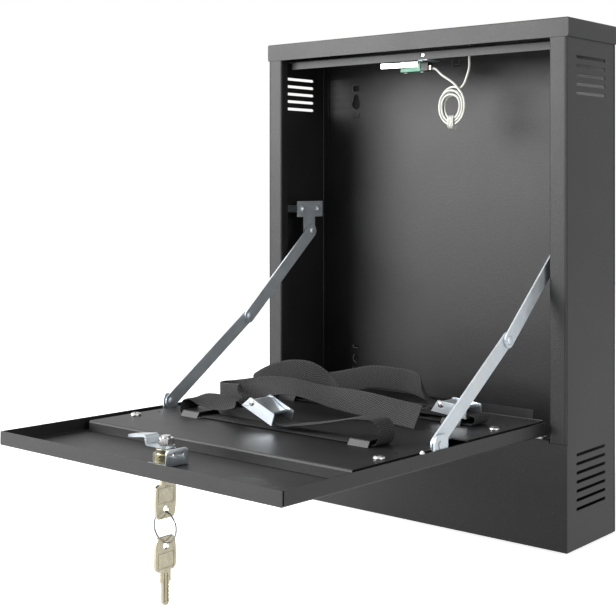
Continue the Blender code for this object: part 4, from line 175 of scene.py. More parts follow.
REAR_BUCKLE_TILT_DEG = 5.0
FRONT_LEFT_SHARES = ((-0.2754, 0.0079, 0.760, -4), (-0.3473, -0.0032, 0.620, -12),
                     (-0.4311, -0.0159, 0.560, -20), (-0.5389, -0.0238, 0.572, -28),
                     (-0.6347, -0.0222, 0.620, -24), (-0.7066, -0.0175, 0.656, -10))
FRONT_RIGHT_SHARES = ((0.6587, 0.0000, 0.944, 0), (0.5868, 0.0000, 0.896, 0),
                      (0.4910, 0.0000, 0.740, 0), (0.3832, 0.0010, 0.572, 0),
                      (0.2754, 0.0025, 0.424, 0), (0.1796, 0.0057, 0.316, 0),
                      (0.1018, 0.0095, 0.248, 0))
FRONT_TAIL_SHARES = ((-0.2575, 0.0016, 1.112, 30), (-0.3114, -0.0190, 1.052, 62),
                     (-0.4072, -0.0540, 0.904, 78), (-0.5150, -0.0857, 0.784, 84),
                     (-0.6347, -0.1206, 0.680, 86), (-0.7485, -0.1508, 0.580, 88),
                     (-0.8114, -0.1810, 0.540, 90), (-0.8204, -0.2048, 0.540, 90),
                     (-0.7844, -0.2238, 0.560, 90), (-0.6946, -0.2381, 0.660, 96),
                     (-0.5509, -0.2492, 0.880, 114), (-0.4072, -0.2587, 1.024, 140),
                     (-0.2635, -0.2635, 1.016, 150), (-0.1437, -0.2683, 0.920, 148),
                     (-0.0240, -0.2730, 0.824, 134), (0.0898, -0.2778, 0.760, 120),
                     (0.2515, -0.2794, 0.692, 109), (0.4072, -0.2794, 0.600, 112),
                     (0.5269, -0.2794, 0.536, 116), (0.6168, -0.2762, 0.496, 118))
REAR_LEFT_SHARES = ((0.3832, -0.0032, 0.320, 0), (0.2515, 0.0000, 0.248, 0),
                    (0.0599, 0.0000, 0.224, 0), (-0.1796, 0.0000, 0.224, 0),
                    (-0.4192, 0.0000, 0.300, 0), (-0.5988, 0.0000, 0.460, 0),
                    (-0.6826, 0.0000, 0.544, 0))
REAR_TAIL_SHARES = ((0.4072, -0.0159, 0.820, 32), (0.3413, -0.0413, 1.000, 62),
                    (0.2635, -0.0730, 1.100, 84), (0.1557, -0.1016, 1.160, 90),
                    (0.0000, -0.1111, 1.192, 90), (-0.1677, -0.1143, 1.152, 90),
                    (-0.3353, -0.1143, 0.900, 90), (-0.5090, -0.1143, 0.640, 90),
                    (-0.6467, -0.1016, 0.544, 90), (-0.7784, -0.0698, 0.540, 90),
                    (-0.8563, -0.0127, 0.540, 90), (-0.8802, 0.0444, 0.540, 90),
                    (-0.8563, 0.1016, 0.560, 90), (-0.7964, 0.1333, 0.660, 88),
                    (-0.7186, 0.1476, 0.880, 85), (-0.6228, 0.1508, 1.180, 82),
                    (-0.5090, 0.1508, 1.452, 82), (-0.3952, 0.1508, 1.580, 82),
                    (-0.2934, 0.1460, 1.560, 82), (-0.2216, 0.1397, 1.360, 82),
                    (-0.1617, 0.1333, 1.040, 82), (-0.1078, 0.1302, 0.700, 82))

# Bends where a strap leaves a bridge: how far out its centre is, how far it bulges beyond that
# and its height, as shares of the webbing's width, and its upper end's shift in u as a share of
# the tray's length.
FRONT_LEFT_BEND_SHARES = (0.06, 0.22, 0.58, -0.0127)
FRONT_RIGHT_BEND_SHARES = (0.04, 0.31, 0.88, 0.0)
REAR_LEFT_BEND_SHARES = (0.06, 0.32, 0.52, 0.0)
REAR_RIGHT_BEND_SHARES = (0.34, 0.20, 0.355, -0.0063)
BEND_TURNS_DEG = (-90.0, -60.0, -25.0, 10.0, 42.0, 72.0)

# Cam buckles
BUCKLE_LENGTH = 0.042
BUCKLE_PLATE = 0.0016
BUCKLE_SIDE_GAP = 0.0006
BUCKLE_BAR_WIDTH = 0.0035
BUCKLE_PIN = (-BUCKLE_LENGTH / 2 + 0.011, 0.0080)
BUCKLE_PIN_RADIUS = 0.0018
BUCKLE_PIN_HEAD_RADIUS = 0.0030
BUCKLE_PIN_HEAD_HEIGHT = 0.0011
BUCKLE_CAM_RADIUS = 0.0034
BUCKLE_LEVER_REACH = 0.0260
BUCKLE_LEVER_THICKNESS = 0.0016
BUCKLE_LEVER_DROP = 0.0030
BUCKLE_LIP_HEIGHT = 0.0030
LEVER_CURL_RADIUS = 0.0032
LEVER_TOOTH_DEPTH = 0.00025
LEVER_SOFT_EDGE = 0.0003
LEVER_SWEEP_DEG = 225
LEVER_SWEEP_STEPS = 48
LEVER_PLAIN_STEPS = 12

# Keys and their split ring
KEY_LENGTH = 0.060
KEY_BOW_LENGTH = 0.030
KEY_BOW_WIDTH = 0.0245
KEY_THICKNESS = 0.0024
KEY_NECK_LENGTH = 0.010
KEY_NECK_WIDTH = 0.0115
KEY_BLADE_WIDTH = 0.0085
KEY_HOLE_RADIUS = 0.0033
KEY_HOLE_INSET = 0.0080
KEY_BOW_TOP_DROP = 0.0165
KEY_RING_RADIUS = 0.0138
KEY_RING_WIRE = 0.0008
KEY_BOW_WIDTH_SHARES = ((0.0, 0.33), (0.05, 0.41), (0.14, 0.455), (0.34, 0.49), (0.60, 0.50),
                        (0.84, 0.50), (0.93, 0.475), (1.0, 0.37))
KEY_CUT_SHARES = (0.16, 0.34, 0.52, 0.70)
KEY_CUT_DEPTH = 0.0013
KEY_GROOVE_DEPTH = 0.0008
KEY_SCORE_DEPTH = 0.00045
KEY_SCORE_WIDTH = 0.0009
KEY_GROOVES = ((-0.0026, -0.0010, -0.0575, -0.0320), (0.0008, 0.0023, -0.0575, -0.0320))
KEY_SCORE_BATCHES = (
    (((-0.0080, 0.0006), (0.0, -0.0038)), ((-0.0095, -0.0140), (0.0095, -0.0140)),
     ((-0.0095, -0.0272), (0.0095, -0.0272))),
    (((0.0, -0.0038), (0.0080, 0.0006)), ((-0.0092, -0.0146), (-0.0092, -0.0266)),
     ((0.0092, -0.0146), (0.0092, -0.0266))),
)
RING_WIRE_RADIUS = 0.00050
RING_SPREAD = 0.0011
RING_TURNS = 1.97
RING_POINTS_PER_TURN = 72
RING_START = 0.6

# Lock
SHEET = 0.0012
LOCK_HEAD_RADIUS = 0.0135
LOCK_HEAD_HEIGHT = 0.0026
LOCK_BARREL_RADIUS = 0.0113
LOCK_BARREL_TOP_W = 0.0110
LOCK_GROOVE_RADIUS = 0.0102
LOCK_NECK_RADIUS = 0.0090
LOCK_NECK_TOP_W = 0.0152
PLUG_RADIUS = 0.0073
PLUG_TAIL_RADIUS = 0.0039
PLUG_TAIL_TOP_W = 0.0262
TAIL_THREAD_START_W = 0.0245
TAIL_THREAD_PITCH = 0.0006
THREAD_DEPTH = 0.0005
BARREL_THREAD_PITCH = 0.0011
CLIP_THICKNESS = 0.0012
CLIP_REACH = 0.0148
CLIP_HOLES = ((-0.0062, 0.0112, 0.0012), (0.0058, 0.0118, 0.0012))
CLIP_CUT = (CLIP_REACH - 0.004, CLIP_REACH + 0.002)
CLIP_SOFT_EDGE = 0.0002
TAIL_CORE_SHARE = 0.9
TAIL_ROOT_DROP = 0.0001

# Switch terminals, the coil's wrap, edges and the dark plate of painted shade behind the holes
TERMINAL_TAB_PLACE = (0.0119, 0.0300, 0.4960)
TERMINAL_TAB_SIZE = (0.0032, 0.0048, 0.0006)
TERMINAL_TAB_PITCH = 0.0026
TERMINAL_TAB_COUNT = 3
TERMINAL_SOFT_EDGE = 0.00012
WRAP_RADIUS = 0.0010
WRAP_TURNS = 3.6
WRAP_SPREAD = 0.0072
WRAP_POINTS_PER_TURN = 40
WRAP_ROUNDNESS = 0.7
SOFT_EDGES = {"black_powder_coat": 0.00030, "zinc_plated_steel": 0.00022,
              "bright_steel": 0.00018, "lever_bright": 0.00012, "switch_green": 0.00030,
              "terminal_black": 0.00030}
HOLE_SHADE_Y = 0.0012
HOLE_SHADE_HALF_SIZE = (0.19, 0.26)


def in_cabinet(x, y, z):
    """A place given in the cabinet's frame, in the row frame."""
    return Vector((x, y, z)) + CABINET_SHIFT


def in_door(x, u, w):
    """A place on the opened door: across, out from the hinge along the panel, and up from it."""
    out, up = u + HINGE_PLACE.y, w - HINGE_PLACE.y
    cos, sin = math.cos(DOOR_TILT), math.sin(DOOR_TILT)
    return in_cabinet(x, HINGE_PLACE.y - out * cos + up * sin,
                      HINGE_PLACE.z + out * sin + up * cos)


# Camera, light and floor


def shown(name, data):
    """A new object with this data, linked to the scene."""
    thing = bpy.data.objects.new(name, data)
    bpy.context.scene.collection.objects.link(thing)
    return thing


def make_camera():
    data = bpy.data.cameras.new("camera")
    data.sensor_width = SENSOR
    data.lens = FOCAL_PIXELS / IMAGE_SIDE * SENSOR
    data.shift_y = (HORIZON_ROW - IMAGE_SIDE / 2) / IMAGE_SIDE
    data.clip_start = CAMERA_CLIP_START
    camera = shown("camera", data)
    camera.location = CAMERA_PLACE
    camera.rotation_euler = (math.pi / 2, 0.0, math.radians(CAMERA_HEADING_DEG))
    bpy.context.scene.camera = camera


def softbox(name, place, size, power):
    data = bpy.data.lights.new(name, "AREA")
    data.shape = "RECTANGLE"
    data.size, data.size_y = size
    data.energy = power
    lamp = shown(name, data)
    lamp.location = place
    towards = Vector(LAMP_TARGET) - Vector(place)
    lamp.rotation_euler = towards.to_track_quat("-Z", "Y").to_euler()


class Nodes:
    """Short calls that add and join the nodes of one tree."""

    def __init__(self, tree):
        self.tree = tree

    def set(self, node, values):
        for key, value in values.items():
            if isinstance(value, bpy.types.NodeSocket):
                self.tree.links.new(value, node.inputs[key])
            else:
                node.inputs[key].default_value = value
        return node

    def add(self, kind, values=None, **settings):
        node = self.tree.nodes.new("ShaderNode" + kind)
        for key, value in settings.items():
            setattr(node, key, value)
        return self.set(node, values or {})

    def math(self, kind, *values):
        return self.add("Math", dict(enumerate(values)), operation=kind).outputs[0]

    def seen_rays(self):
        """1 where the camera sees a backdrop, straight or in metal or glass, else 0."""
        rays = self.add("LightPath").outputs
        total = rays["Is Camera Ray"]
        for kind in ("Is Glossy Ray", "Is Transmission Ray"):
            total = self.math("MAXIMUM", total, rays[kind])
        return total


def make_world():
    world = bpy.data.worlds.new("studio")
    bpy.context.scene.world = world
    world.use_nodes = True
    world.node_tree.nodes.clear()
    nodes = Nodes(world.node_tree)
    seen = nodes.add("Background", {"Color": WHITE})
    lit = nodes.add("Background", {"Color": WHITE, "Strength": WORLD_STRENGTH})
    mix = nodes.add("MixShader", {0: nodes.seen_rays(), 1: lit.outputs[0], 2: seen.outputs[0]})
    nodes.add("OutputWorld", {"Surface": mix.outputs[0]})


make_camera()
make_world()
for lamp_facts in SOFTBOXES:
    softbox(*lamp_facts)


# Materials


class Look(Nodes):
    """A node material under construction."""

    def __init__(self, name, color, rough, metal=0.0):
        self.material = bpy.data.materials.new(name)
        self.material.use_nodes = True
        self.material.diffuse_color = (*color, 1.0)
        super().__init__(self.material.node_tree)
        self.shader = self.tree.nodes["Principled BSDF"]
        self.set(self.shader, {"Base Color": (*color, 1.0), "Roughness": rough,
                               "Metallic": metal})

    def place(self):
        """Where a point lies on its own piece, in metres, so that textures move with it."""
        return self.add("TexCoord").outputs["Object"]

    def noise(self, size, detail, rough=0.55, stretch=None):
        """Noise whose grains are about that size in metres."""
        vector = self.place()
        if stretch:
            vector = self.add("Mapping", {"Vector": vector, "Scale": stretch}).outputs[0]
        node = self.add("TexNoise", {"Vector": vector, "Scale": 1.0 / size, "Detail": detail,
                                     "Roughness": rough})
        return node.outputs["Fac"]

    def span(self, value, low, high, start, end):
        """Maps a value from start..end to low..high."""
        return self.add("MapRange", {"Value": value, "From Min": start, "From Max": end,
                                     "To Min": low, "To Max": high}).outputs["Result"]

    def tint(self, value, low, high):
        """Blends two colours by a value from 0 to 1."""
        node = self.add("Mix", {0: value}, data_type="RGBA")
        for key, color in ((6, low), (7, high)):
            joined = isinstance(color, bpy.types.NodeSocket)
            self.set(node, {key: color if joined else (*color, 1.0)})
        return node.outputs[2]

    def bump(self, height, depth, strength):
        node = self.add("Bump", {"Height": height, "Distance": depth, "Strength": strength})
        self.set(self.shader, {"Normal": node.outputs[0]})

    def ends_in(self, shader):
        self.set(self.tree.nodes["Material Output"], {"Surface": shader.outputs[0]})


def powder_coat():
    """Black fine-texture powder coat: pebbled, satin, with faint cloudiness and pale specks."""
    look = Look("black_powder_coat", COAT_COLOR, 0.46)
    cloud = look.noise(COAT_CLOUD_SIZE, 3.0)
    speck = look.noise(COAT_SPECK_SIZE, 2.0)
    base = look.tint(look.span(cloud, 0.0, 1.0, 0.35, 0.65), COAT_DARK, COAT_PALE)
    bright = look.span(speck, 0.0, 0.6, 0.58, 0.76)
    look.set(look.shader, {"Base Color": look.tint(bright, base, COAT_SPECK_COLOR),
                           "Roughness": look.span(cloud, 0.43, 0.48, 0.3, 0.7),
                           "Specular IOR Level": COAT_SPECULAR})
    look.bump(look.noise(COAT_PEBBLE_SIZE, 2.5, 0.6), COAT_PEBBLE_DEPTH, 0.6)
    return look.material


def zinc(name, rough, metal):
    """Clear-passivated zinc: bluish, with soft mottling, rolling lines and faint warm patches."""
    look = Look(name, ZINC_COLOR, rough, metal)
    patch = look.noise(ZINC_PATCH_SIZE, 4.0, 0.6)
    line = look.noise(ZINC_LINE_SIZE, 2.0, stretch=(0.04, 1.0, 1.0))
    cool = look.tint(look.span(patch, 0.0, 1.0, 0.3, 0.7), ZINC_COLOR,
                     tuple(min(c * ZINC_PALE_SHARE, 1.0) for c in ZINC_COLOR))
    warm = look.span(look.noise(ZINC_WARM_SIZE, 2.0), 0.0, 0.35, 0.55, 0.75)
    look.set(look.shader, {"Base Color": look.tint(warm, cool, ZINC_WARM_COLOR),
                           "Roughness": look.span(look.math("ADD", patch, line),
                                                  rough - 0.08, rough + 0.10, 0.7, 1.3)})
    look.bump(look.math("ADD", look.noise(ZINC_GRAIN_SIZE, 2.0), line), ZINC_GRAIN_DEPTH, 0.35)
    return look.material


def steel(name, color, rough):
    """Bright machined or plated metal with a fine turned grain and light handling marks."""
    look = Look(name, color, rough, 1.0)
    mark = look.noise(STEEL_MARK_SIZE, 5.0, 0.65)
    look.set(look.shader, {
        "Base Color": look.tint(look.span(mark, 0.0, 1.0, 0.35, 0.7), color,
                                tuple(c * STEEL_DARK_SHARE for c in color)),
        "Roughness": look.span(mark, rough - 0.06, rough + 0.12, 0.3, 0.7)})
    look.bump(look.noise(STEEL_GRAIN_SIZE, 2.0, stretch=(0.1, 1.0, 1.0)), STEEL_GRAIN_DEPTH, 0.3)
    return look.material


def webbing():
    """Black polypropylene webbing: glossier yarn crests painted lighter as a painted highlight,
    over gaps painted near black as painted shade.
    """
    look = Look("black_webbing", (0.030, 0.030, 0.031), 0.62)
    weave = look.add("Attribute", attribute_name="weave").outputs["Fac"]
    yarn = look.noise(YARN_SIZE, 2.0)
    # crest blends the colour from painted shade in the gaps to a painted highlight on the crests
    crest = look.span(look.math("ADD", weave, look.math("MULTIPLY", yarn, 0.3)), 0.0, 1.0,
                      0.84, 1.22)
    look.set(look.shader, {"Base Color": look.tint(crest, YARN_GAP_PAINTED_SHADE, YARN_CREST_PAINTED_HIGHLIGHT),
                           "Roughness": look.span(crest, 0.46, 0.85, 1.0, 0.0)})
    look.bump(yarn, YARN_DEPTH, 0.6)
    return look.material


def plastic(name, color, rough):
    """Moulded plastic or rubber: faint flow mottling and a fine mould grain."""
    look = Look(name, color, rough)
    flow = look.noise(PLASTIC_FLOW_SIZE, 3.0)
    look.set(look.shader, {
        "Base Color": look.tint(look.span(flow, 0.0, 1.0, 0.3, 0.7),
                                tuple(c * (1 - PLASTIC_MOTTLE) for c in color),
                                tuple(min(c * (1 + PLASTIC_MOTTLE), 1.0) for c in color)),
        "Roughness": look.span(flow, rough - 0.05, rough + 0.05, 0.3, 0.7)})
    look.bump(look.noise(PLASTIC_GRAIN_SIZE, 2.0), PLASTIC_GRAIN_DEPTH, 0.4)
    return look.material


LOOKS = {
    "black_powder_coat": powder_coat(),
    "zinc_plated_steel": zinc("zinc_plated_steel", 0.34, ZINC_METAL),
    "stay_zinc": zinc("stay_zinc", 0.42, STAY_METAL),
    "bright_steel": steel("bright_steel", (0.60, 0.60, 0.59), 0.22),
    "ring_steel": steel("ring_steel", (0.20, 0.21, 0.235), 0.30),
    "nickel_silver": steel("nickel_silver", (0.43, 0.40, 0.30), 0.26),
    "brass_barrel": steel("brass_barrel", (0.58, 0.55, 0.42), 0.26),
    "switch_green": plastic("switch_green", (0.008, 0.18, 0.10), 0.38),
    "terminal_black": plastic("terminal_black", (0.007, 0.006, 0.006), 0.50),
    "lever_bright": steel("lever_bright", (0.90, 0.90, 0.88), 0.18),
    "lead_white": plastic("lead_white", (0.60, 0.60, 0.56), 0.46),
    "grommet_rubber": plastic("grommet_rubber", (0.020, 0.020, 0.021), 0.62),
    "tie_white": plastic("tie_white", (0.62, 0.62, 0.58), 0.46),
    "bumper_white": plastic("bumper_white", (0.84, 0.84, 0.82), 0.38),
    "black_webbing": webbing(),
}


def dress_cad_nodes():
    """Every CAD node keeps its mesh and takes its slot's look, the stays a duller zinc."""
    for entry in frame["record"]["subparts"]:
        thing = NODES[entry["node"]]
        thing.data.materials.clear()
        slot = entry["material_slot"]
        if slot == "zinc_plated_steel" and entry["node"].startswith("stay_"):
            slot = "stay_zinc"
        thing.data.materials.append(LOOKS[slot])


dress_cad_nodes()


# Floor


def stage_plate(name, corners, look):
    """A flat plate of the studio, which is no part of the object."""
    mesh = bpy.data.meshes.new(name)
    mesh.from_pydata(corners, [], [(0, 1, 2, 3)])
    mesh.materials.append(look.material)
    shown(name, mesh)


def make_floor():
    low = cad_box[0][2] - FLOOR_DROP
    half = FLOOR_SIZE / 2
    look = Look("floor_white", (0.86, 0.86, 0.86), 0.75)
    glow = look.add("Emission", {"Color": WHITE, "Strength": FLOOR_GLOW})
    both = look.add("AddShader", {0: look.shader.outputs[0], 1: glow.outputs[0]})
    look.ends_in(look.add("MixShader", {0: look.seen_rays(), 1: look.shader.outputs[0],
                                        2: both.outputs[0]}))
    stage_plate("floor", [(-half, -half, low), (half, -half, low), (half, half, low),
                          (-half, half, low)], look)


make_floor()


# Tamper switch lead


def flowing(points):
    """Closely spaced points on a smooth curve through the given ones, which may lie unevenly."""
    knots = [Vector(point) for point in points]
    spans = [(b - a).length for a, b in zip(knots, knots[1:])]
    slopes = [(b - a) / span for a, b, span in zip(knots, knots[1:], spans)]
    rates = [slopes[0]]
    for before, after, first, second in zip(spans, spans[1:], slopes, slopes[1:]):
        rates.append((first * after + second * before) / (before + after))
    rates.append(slopes[-1])
    fine = []
    for a, b, start, end, span in zip(knots, knots[1:], rates, rates[1:], spans):
        for step in range(CURVE_STEPS):
            t = step / CURVE_STEPS
            fine.append(a * (2 * t ** 3 - 3 * t ** 2 + 1) + start * (span * (t - 1) ** 2 * t)
                        + b * (3 * t ** 2 - 2 * t ** 3) + end * (span * (t - 1) * t ** 2))
    fine.append(knots[-1])
    return fine


def route_length(points):
    return sum((b - a).length for a, b in zip(points, points[1:]))


def evenly(fine, count):
    """Where evenly spaced points lie on a fine curve: the point before, and the share past it."""
    walked = [0.0]
    for a, b in zip(fine, fine[1:]):
        walked.append(walked[-1] + (b - a).length)
    spots = []
    j = 0
    for i in range(count):
        want = walked[-1] * i / (count - 1)
        while j < len(walked) - 2 and walked[j + 1] < want:
            j += 1
        spots.append((j, (want - walked[j]) / (walked[j + 1] - walked[j])))
    return spots


def smooth_route(points, count):
    """Reads evenly spaced points from a smooth curve through the given ones."""
    fine = flowing(points)
    return [fine[j].lerp(fine[j + 1], share) for j, share in evenly(fine, count)]


def wire(name, points, radius, look, resolution=4):
    """A round wire along the points, as a curve with filled ends."""
    curve = bpy.data.curves.new(name, "CURVE")
    curve.dimensions = "3D"
    curve.bevel_depth = radius
    curve.bevel_resolution = resolution
    curve.use_fill_caps = True
    run = curve.splines.new("POLY")
    run.points.add(len(points) - 1)
    for spot, point in zip(run.points, points):
        spot.co = (*point, 1.0)
    curve.materials.append(LOOKS[look])
    return shown(name, curve)


def coil_points():
    """The lead's turns: in across the front layer, then out across the rear one."""
    points = []
    half = COIL_TURNS / 2
    for i in range(round(COIL_TURNS * COIL_POINTS_PER_TURN) + 1):
        turns = i / COIL_POINTS_PER_TURN
        angle = math.radians(COIL_START_DEG) - 2 * math.pi * turns
        inward = turns if turns < half else COIL_TURNS - turns
        climb = min(max((turns - half) / COIL_CLIMB_TURNS + 0.5, 0.0), 1.0)
        depth = LEAD_Y + COIL_LAYER_STEP * (climb * climb * (3 - 2 * climb))
        draw = COIL_PITCH * inward
        fan = 1 + COIL_CROWN_SHARE * max(math.sin(angle), 0.0)
        points.append(Vector((COIL_CENTRE[0] + (COIL_HALF_SIZE[0] - draw) * math.cos(angle),
                              depth,
                              COIL_CENTRE[1] + (COIL_HALF_SIZE[1] - draw * fan)
                              * math.sin(angle))))
    return points


def lead_route():
    """From the switch into the coil, round it, and out of it up to the grommet."""
    turns = coil_points()
    entry, leaving = turns[0], turns[-1]
    into = (entry - turns[1]).normalized()
    out = (leaving - turns[-2]).normalized()
    size = LEAD_DIAMETER
    start = Vector(LEAD_START)
    first = [start, start + Vector((2 * size, 0.0, 0.0)),
             start.lerp(entry, 0.38) + Vector((0.0, 0.0, size)),
             entry + into * (2.5 * size), entry + into * (2 * SEAT_GAP)]
    end = Vector(GROMMET_PLACE)
    second = [leaving + out * (2 * SEAT_GAP), leaving + out * (1.2 * size),
              leaving + Vector((3.2 * size, -0.4 * size, 0.9 * size)),
              leaving + Vector((5.4 * size, -1.2 * size, 4.0 * size)),
              leaving + Vector((7.7 * size, -2.4 * size, 8.6 * size)),
              end - Vector((0.4 * size, -0.4 * size, 6.0 * size)),
              end - Vector((0.0, 0.0, 2.5 * size)), end]
    route = smooth_route(first, LEAD_POINTS) + turns + smooth_route(second, LEAD_POINTS)
    return [point + CABINET_SHIFT for point in route]


def make_lead():
    points = lead_route()
    lead = wire("switch_lead", points, LEAD_DIAMETER / 2, "lead_white", 5)
    stands_for(lead, "cabinet",
               ("tamper_lead_coil", "tamper_lead_to_switch", "tamper_lead_to_grommet"))


# Mesh helpers


def spread(axis, first, second, along):
    """Puts an outline's two coordinates and a length along an axis in x, y, z order."""
    if axis == "x":
        return along, first, second
    if axis == "y":
        return first, along, second
    return first, second, along


def encloses(loop, point):
    """Whether an outline goes round a point."""
    inside = False
    for (ax, ay), (bx, by) in zip(loop, loop[1:] + loop[:1]):
        if (ay > point.y) != (by > point.y):
            if point.x < ax + (bx - ax) * (point.y - ay) / (by - ay):
                inside = not inside
    return inside


def extrude(bm, loops, axis, low, high, place):
    """Extrudes an outline, with any holes after it in the list, into a closed solid."""
    corners = [Vector(corner) for loop in loops for corner in loop]
    ends = []
    for level in (low, high):
        ends.append([bm.verts.new(place(*spread(axis, a, b, level))) for a, b in corners])
    edges = []
    for loop in loops:
        start = len(edges)
        edges += [(start + i, start + (i + 1) % len(loop)) for i in range(len(loop))]
    filled = delaunay_2d_cdt(corners, edges, [], 1, 1e-7)
    for triangle in filled[2]:
        picked = [filled[3][i][0] for i in triangle]
        middle = sum((corners[i] for i in picked), Vector((0.0, 0.0))) / 3
        if any(encloses(hole, middle) for hole in loops[1:]):
            continue
        for end in ends:
            bm.faces.new([end[i] for i in picked])
    for here, after in edges:
        bm.faces.new((ends[0][here], ends[0][after], ends[1][after], ends[1][here]))


def box(bm, first_range, second_range, third_range, place):
    (x0, x1), (y0, y1) = first_range, second_range
    extrude(bm, [[(x0, y0), (x1, y0), (x1, y1), (x0, y1)]], "z", *third_range, place)


def arc(centre, radius, start_deg, end_deg, steps):
    """Points along an arc, ends included."""
    points = []
    for i in range(steps + 1):
        angle = math.radians(start_deg + (end_deg - start_deg) * i / steps)
        points.append((centre[0] + radius * math.cos(angle), centre[1] + radius * math.sin(angle)))
    return points


def circle(centre, radius, steps):
    return arc(centre, radius, 0, 360 - 360 / steps, steps - 1)


def turned(bm, profile, axis="z", centre=(0.0, 0.0), steps=40, place=in_door, closed=False):
    """Revolves (along, radius) pairs about an axis. A closed profile makes a ring."""
    rings = []
    for along, radius in profile:
        if radius == 0:
            rings.append([bm.verts.new(place(*spread(axis, centre[0], centre[1], along)))])
            continue
        rings.append([bm.verts.new(place(*spread(axis, a, b, along)))
                      for a, b in circle(centre, radius, steps)])
    pairs = list(zip(rings, rings[1:]))
    if closed:
        pairs.append((rings[-1], rings[0]))
    for lower, upper in pairs:
        for i in range(steps):
            j = (i + 1) % steps
            if len(lower) == 1:
                bm.faces.new((lower[0], upper[j], upper[i]))
            elif len(upper) == 1:
                bm.faces.new((lower[i], lower[j], upper[0]))
            else:
                bm.faces.new((lower[i], lower[j], upper[j], upper[i]))


def dome(base, top, radius, steps=6):
    """Profile of a dome that rises from its base to its top."""
    rise = top - base
    points = []
    for step in range(steps + 1):
        angle = math.pi / 2 * step / steps
        points.append((base + rise * math.sin(angle), radius * math.cos(angle)))
    points[-1] = (top, 0)
    return points


def soften(thing, width):
    """Rounds the sharp edges, so that they catch the light as pressed or moulded ones do."""
    step = thing.modifiers.new("soft_edges", "BEVEL")
    step.width = width
    step.segments = SOFT_EDGE_SEGMENTS
    step.limit_method = "ANGLE"
    step.angle_limit = math.radians(SOFT_EDGE_DEG)
    step.harden_normals = True


def plain_object(name, bm):
    bmesh.ops.recalc_face_normals(bm, faces=bm.faces)
    mesh = bpy.data.meshes.new(name)
    bm.to_mesh(mesh)
    bm.free()
    return shown(name, mesh)


def carve(thing, tool_bm):
    """Cuts a shape out of a piece, for good."""
    tool = plain_object(thing.name + "_tool", tool_bm)
    step = thing.modifiers.new("carve", "BOOLEAN")
    step.operation = "DIFFERENCE"
    step.object = tool
    bpy.context.view_layer.update()
    final = thing.evaluated_get(bpy.context.evaluated_depsgraph_get())
    thing.data = bpy.data.meshes.new_from_object(final)
    thing.modifiers.clear()
    spare = tool.data
    bpy.data.objects.remove(tool)
    bpy.data.meshes.remove(spare)


REPLACED = set()


def stands_for(thing, body, nodes=()):
    """Lets a piece ride on a body, in place of the CAD nodes that it shows in finer detail."""
    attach(thing, body)
    if nodes:
        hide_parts(*nodes)
        REPLACED.update(nodes)


def piece(thing, look, body, nodes=(), soft=0.0, sharp=SHARP_DEG):
    """Dresses an object, rounds its edges and lets it ride on a body in place of CAD nodes."""
    if not isinstance(thing, bpy.types.Object):
        thing = plain_object(*thing)
    thing.data.materials.clear()
    thing.data.materials.append(LOOKS[look])
    thing.data.shade_smooth()
    if soft:
        soften(thing, soft)
    else:
        thing.data.set_sharp_from_angle(angle=math.radians(sharp))
    stands_for(thing, body, nodes)
    return thing


# Strap webbing


def tray_station(line_u, x_share, u_share, w_share, lean=0.0):
    """A strap station from the shares of the tray's and the webbing's sizes that place it."""
    return Vector((x_share * TRAY_HALF_WIDTH, line_u + u_share * TRAY_LENGTH,
                   TRAY_TOP + w_share * WEBBING_WIDTH, lean))


class Buckle:
    """Where a cam buckle lies: a runs along the webbing towards its entry, c up from its base."""

    def __init__(self, line_u, shares, tilt_deg):
        self.x, self.u, self.w, _ = tray_station(line_u, *shares)
        self.tilt = math.radians(tilt_deg)

    def point(self, a, c):
        """A strap station, with no lean, at a place in the buckle."""
        along = a * math.cos(self.tilt) + c * math.sin(self.tilt)
        up = c * math.cos(self.tilt) - a * math.sin(self.tilt)
        return Vector((self.x + along, self.u, self.w + up, 0.0))

    def place(self, a, b, c):
        """The row frame's point at a, b, c in the buckle."""
        spot = self.point(a, c)
        return in_door(spot.x, self.u - b, spot.z)


def bar_wrap(buckle):
    """The webbing's sewn end: over the bar, down through the slot and back underneath."""
    bar_edge = -BUCKLE_LENGTH / 2 + BUCKLE_BAR_WIDTH
    thick = WEBBING_THICKNESS
    over = BUCKLE_PLATE + SEAT_GAP + thick / 2
    under = -SEAT_GAP - thick / 2
    middle = (over + under) / 2
    turn = bar_edge + thick + SEAT_GAP
    places = [(bar_edge - 7 * thick, over - thick / 2), (bar_edge - 4 * thick, over - thick / 6),
              (bar_edge - thick, over), (turn - thick / 2, over - thick / 3), (turn, middle),
              (turn - thick / 2, under + thick / 3), (bar_edge - thick, under),
              (bar_edge - 4 * thick, under), (bar_edge - 8 * thick, under)]
    return [buckle.point(a, c) for a, c in places]


def buckle_pass(buckle):
    """The webbing's way in over the base, under the cam and out over its own sewn end."""
    half = BUCKLE_LENGTH / 2
    thick = WEBBING_THICKNESS
    low = BUCKLE_PLATE + SEAT_GAP + thick / 2
    high = low + thick + SEAT_GAP
    pin_a = BUCKLE_PIN[0]
    places = [(half + 2 * thick, low + thick / 3), (half - 2 * thick, low),
              (pin_a + 4 * thick, low), (pin_a + thick, low + thick / 8),
              (pin_a - thick, low + thick / 2), (pin_a - 3.6 * thick, high),
              (-half, high + thick / 8), (-half - 2 * thick, high + thick / 4)]
    return [buckle.point(a, c) for a, c in places]


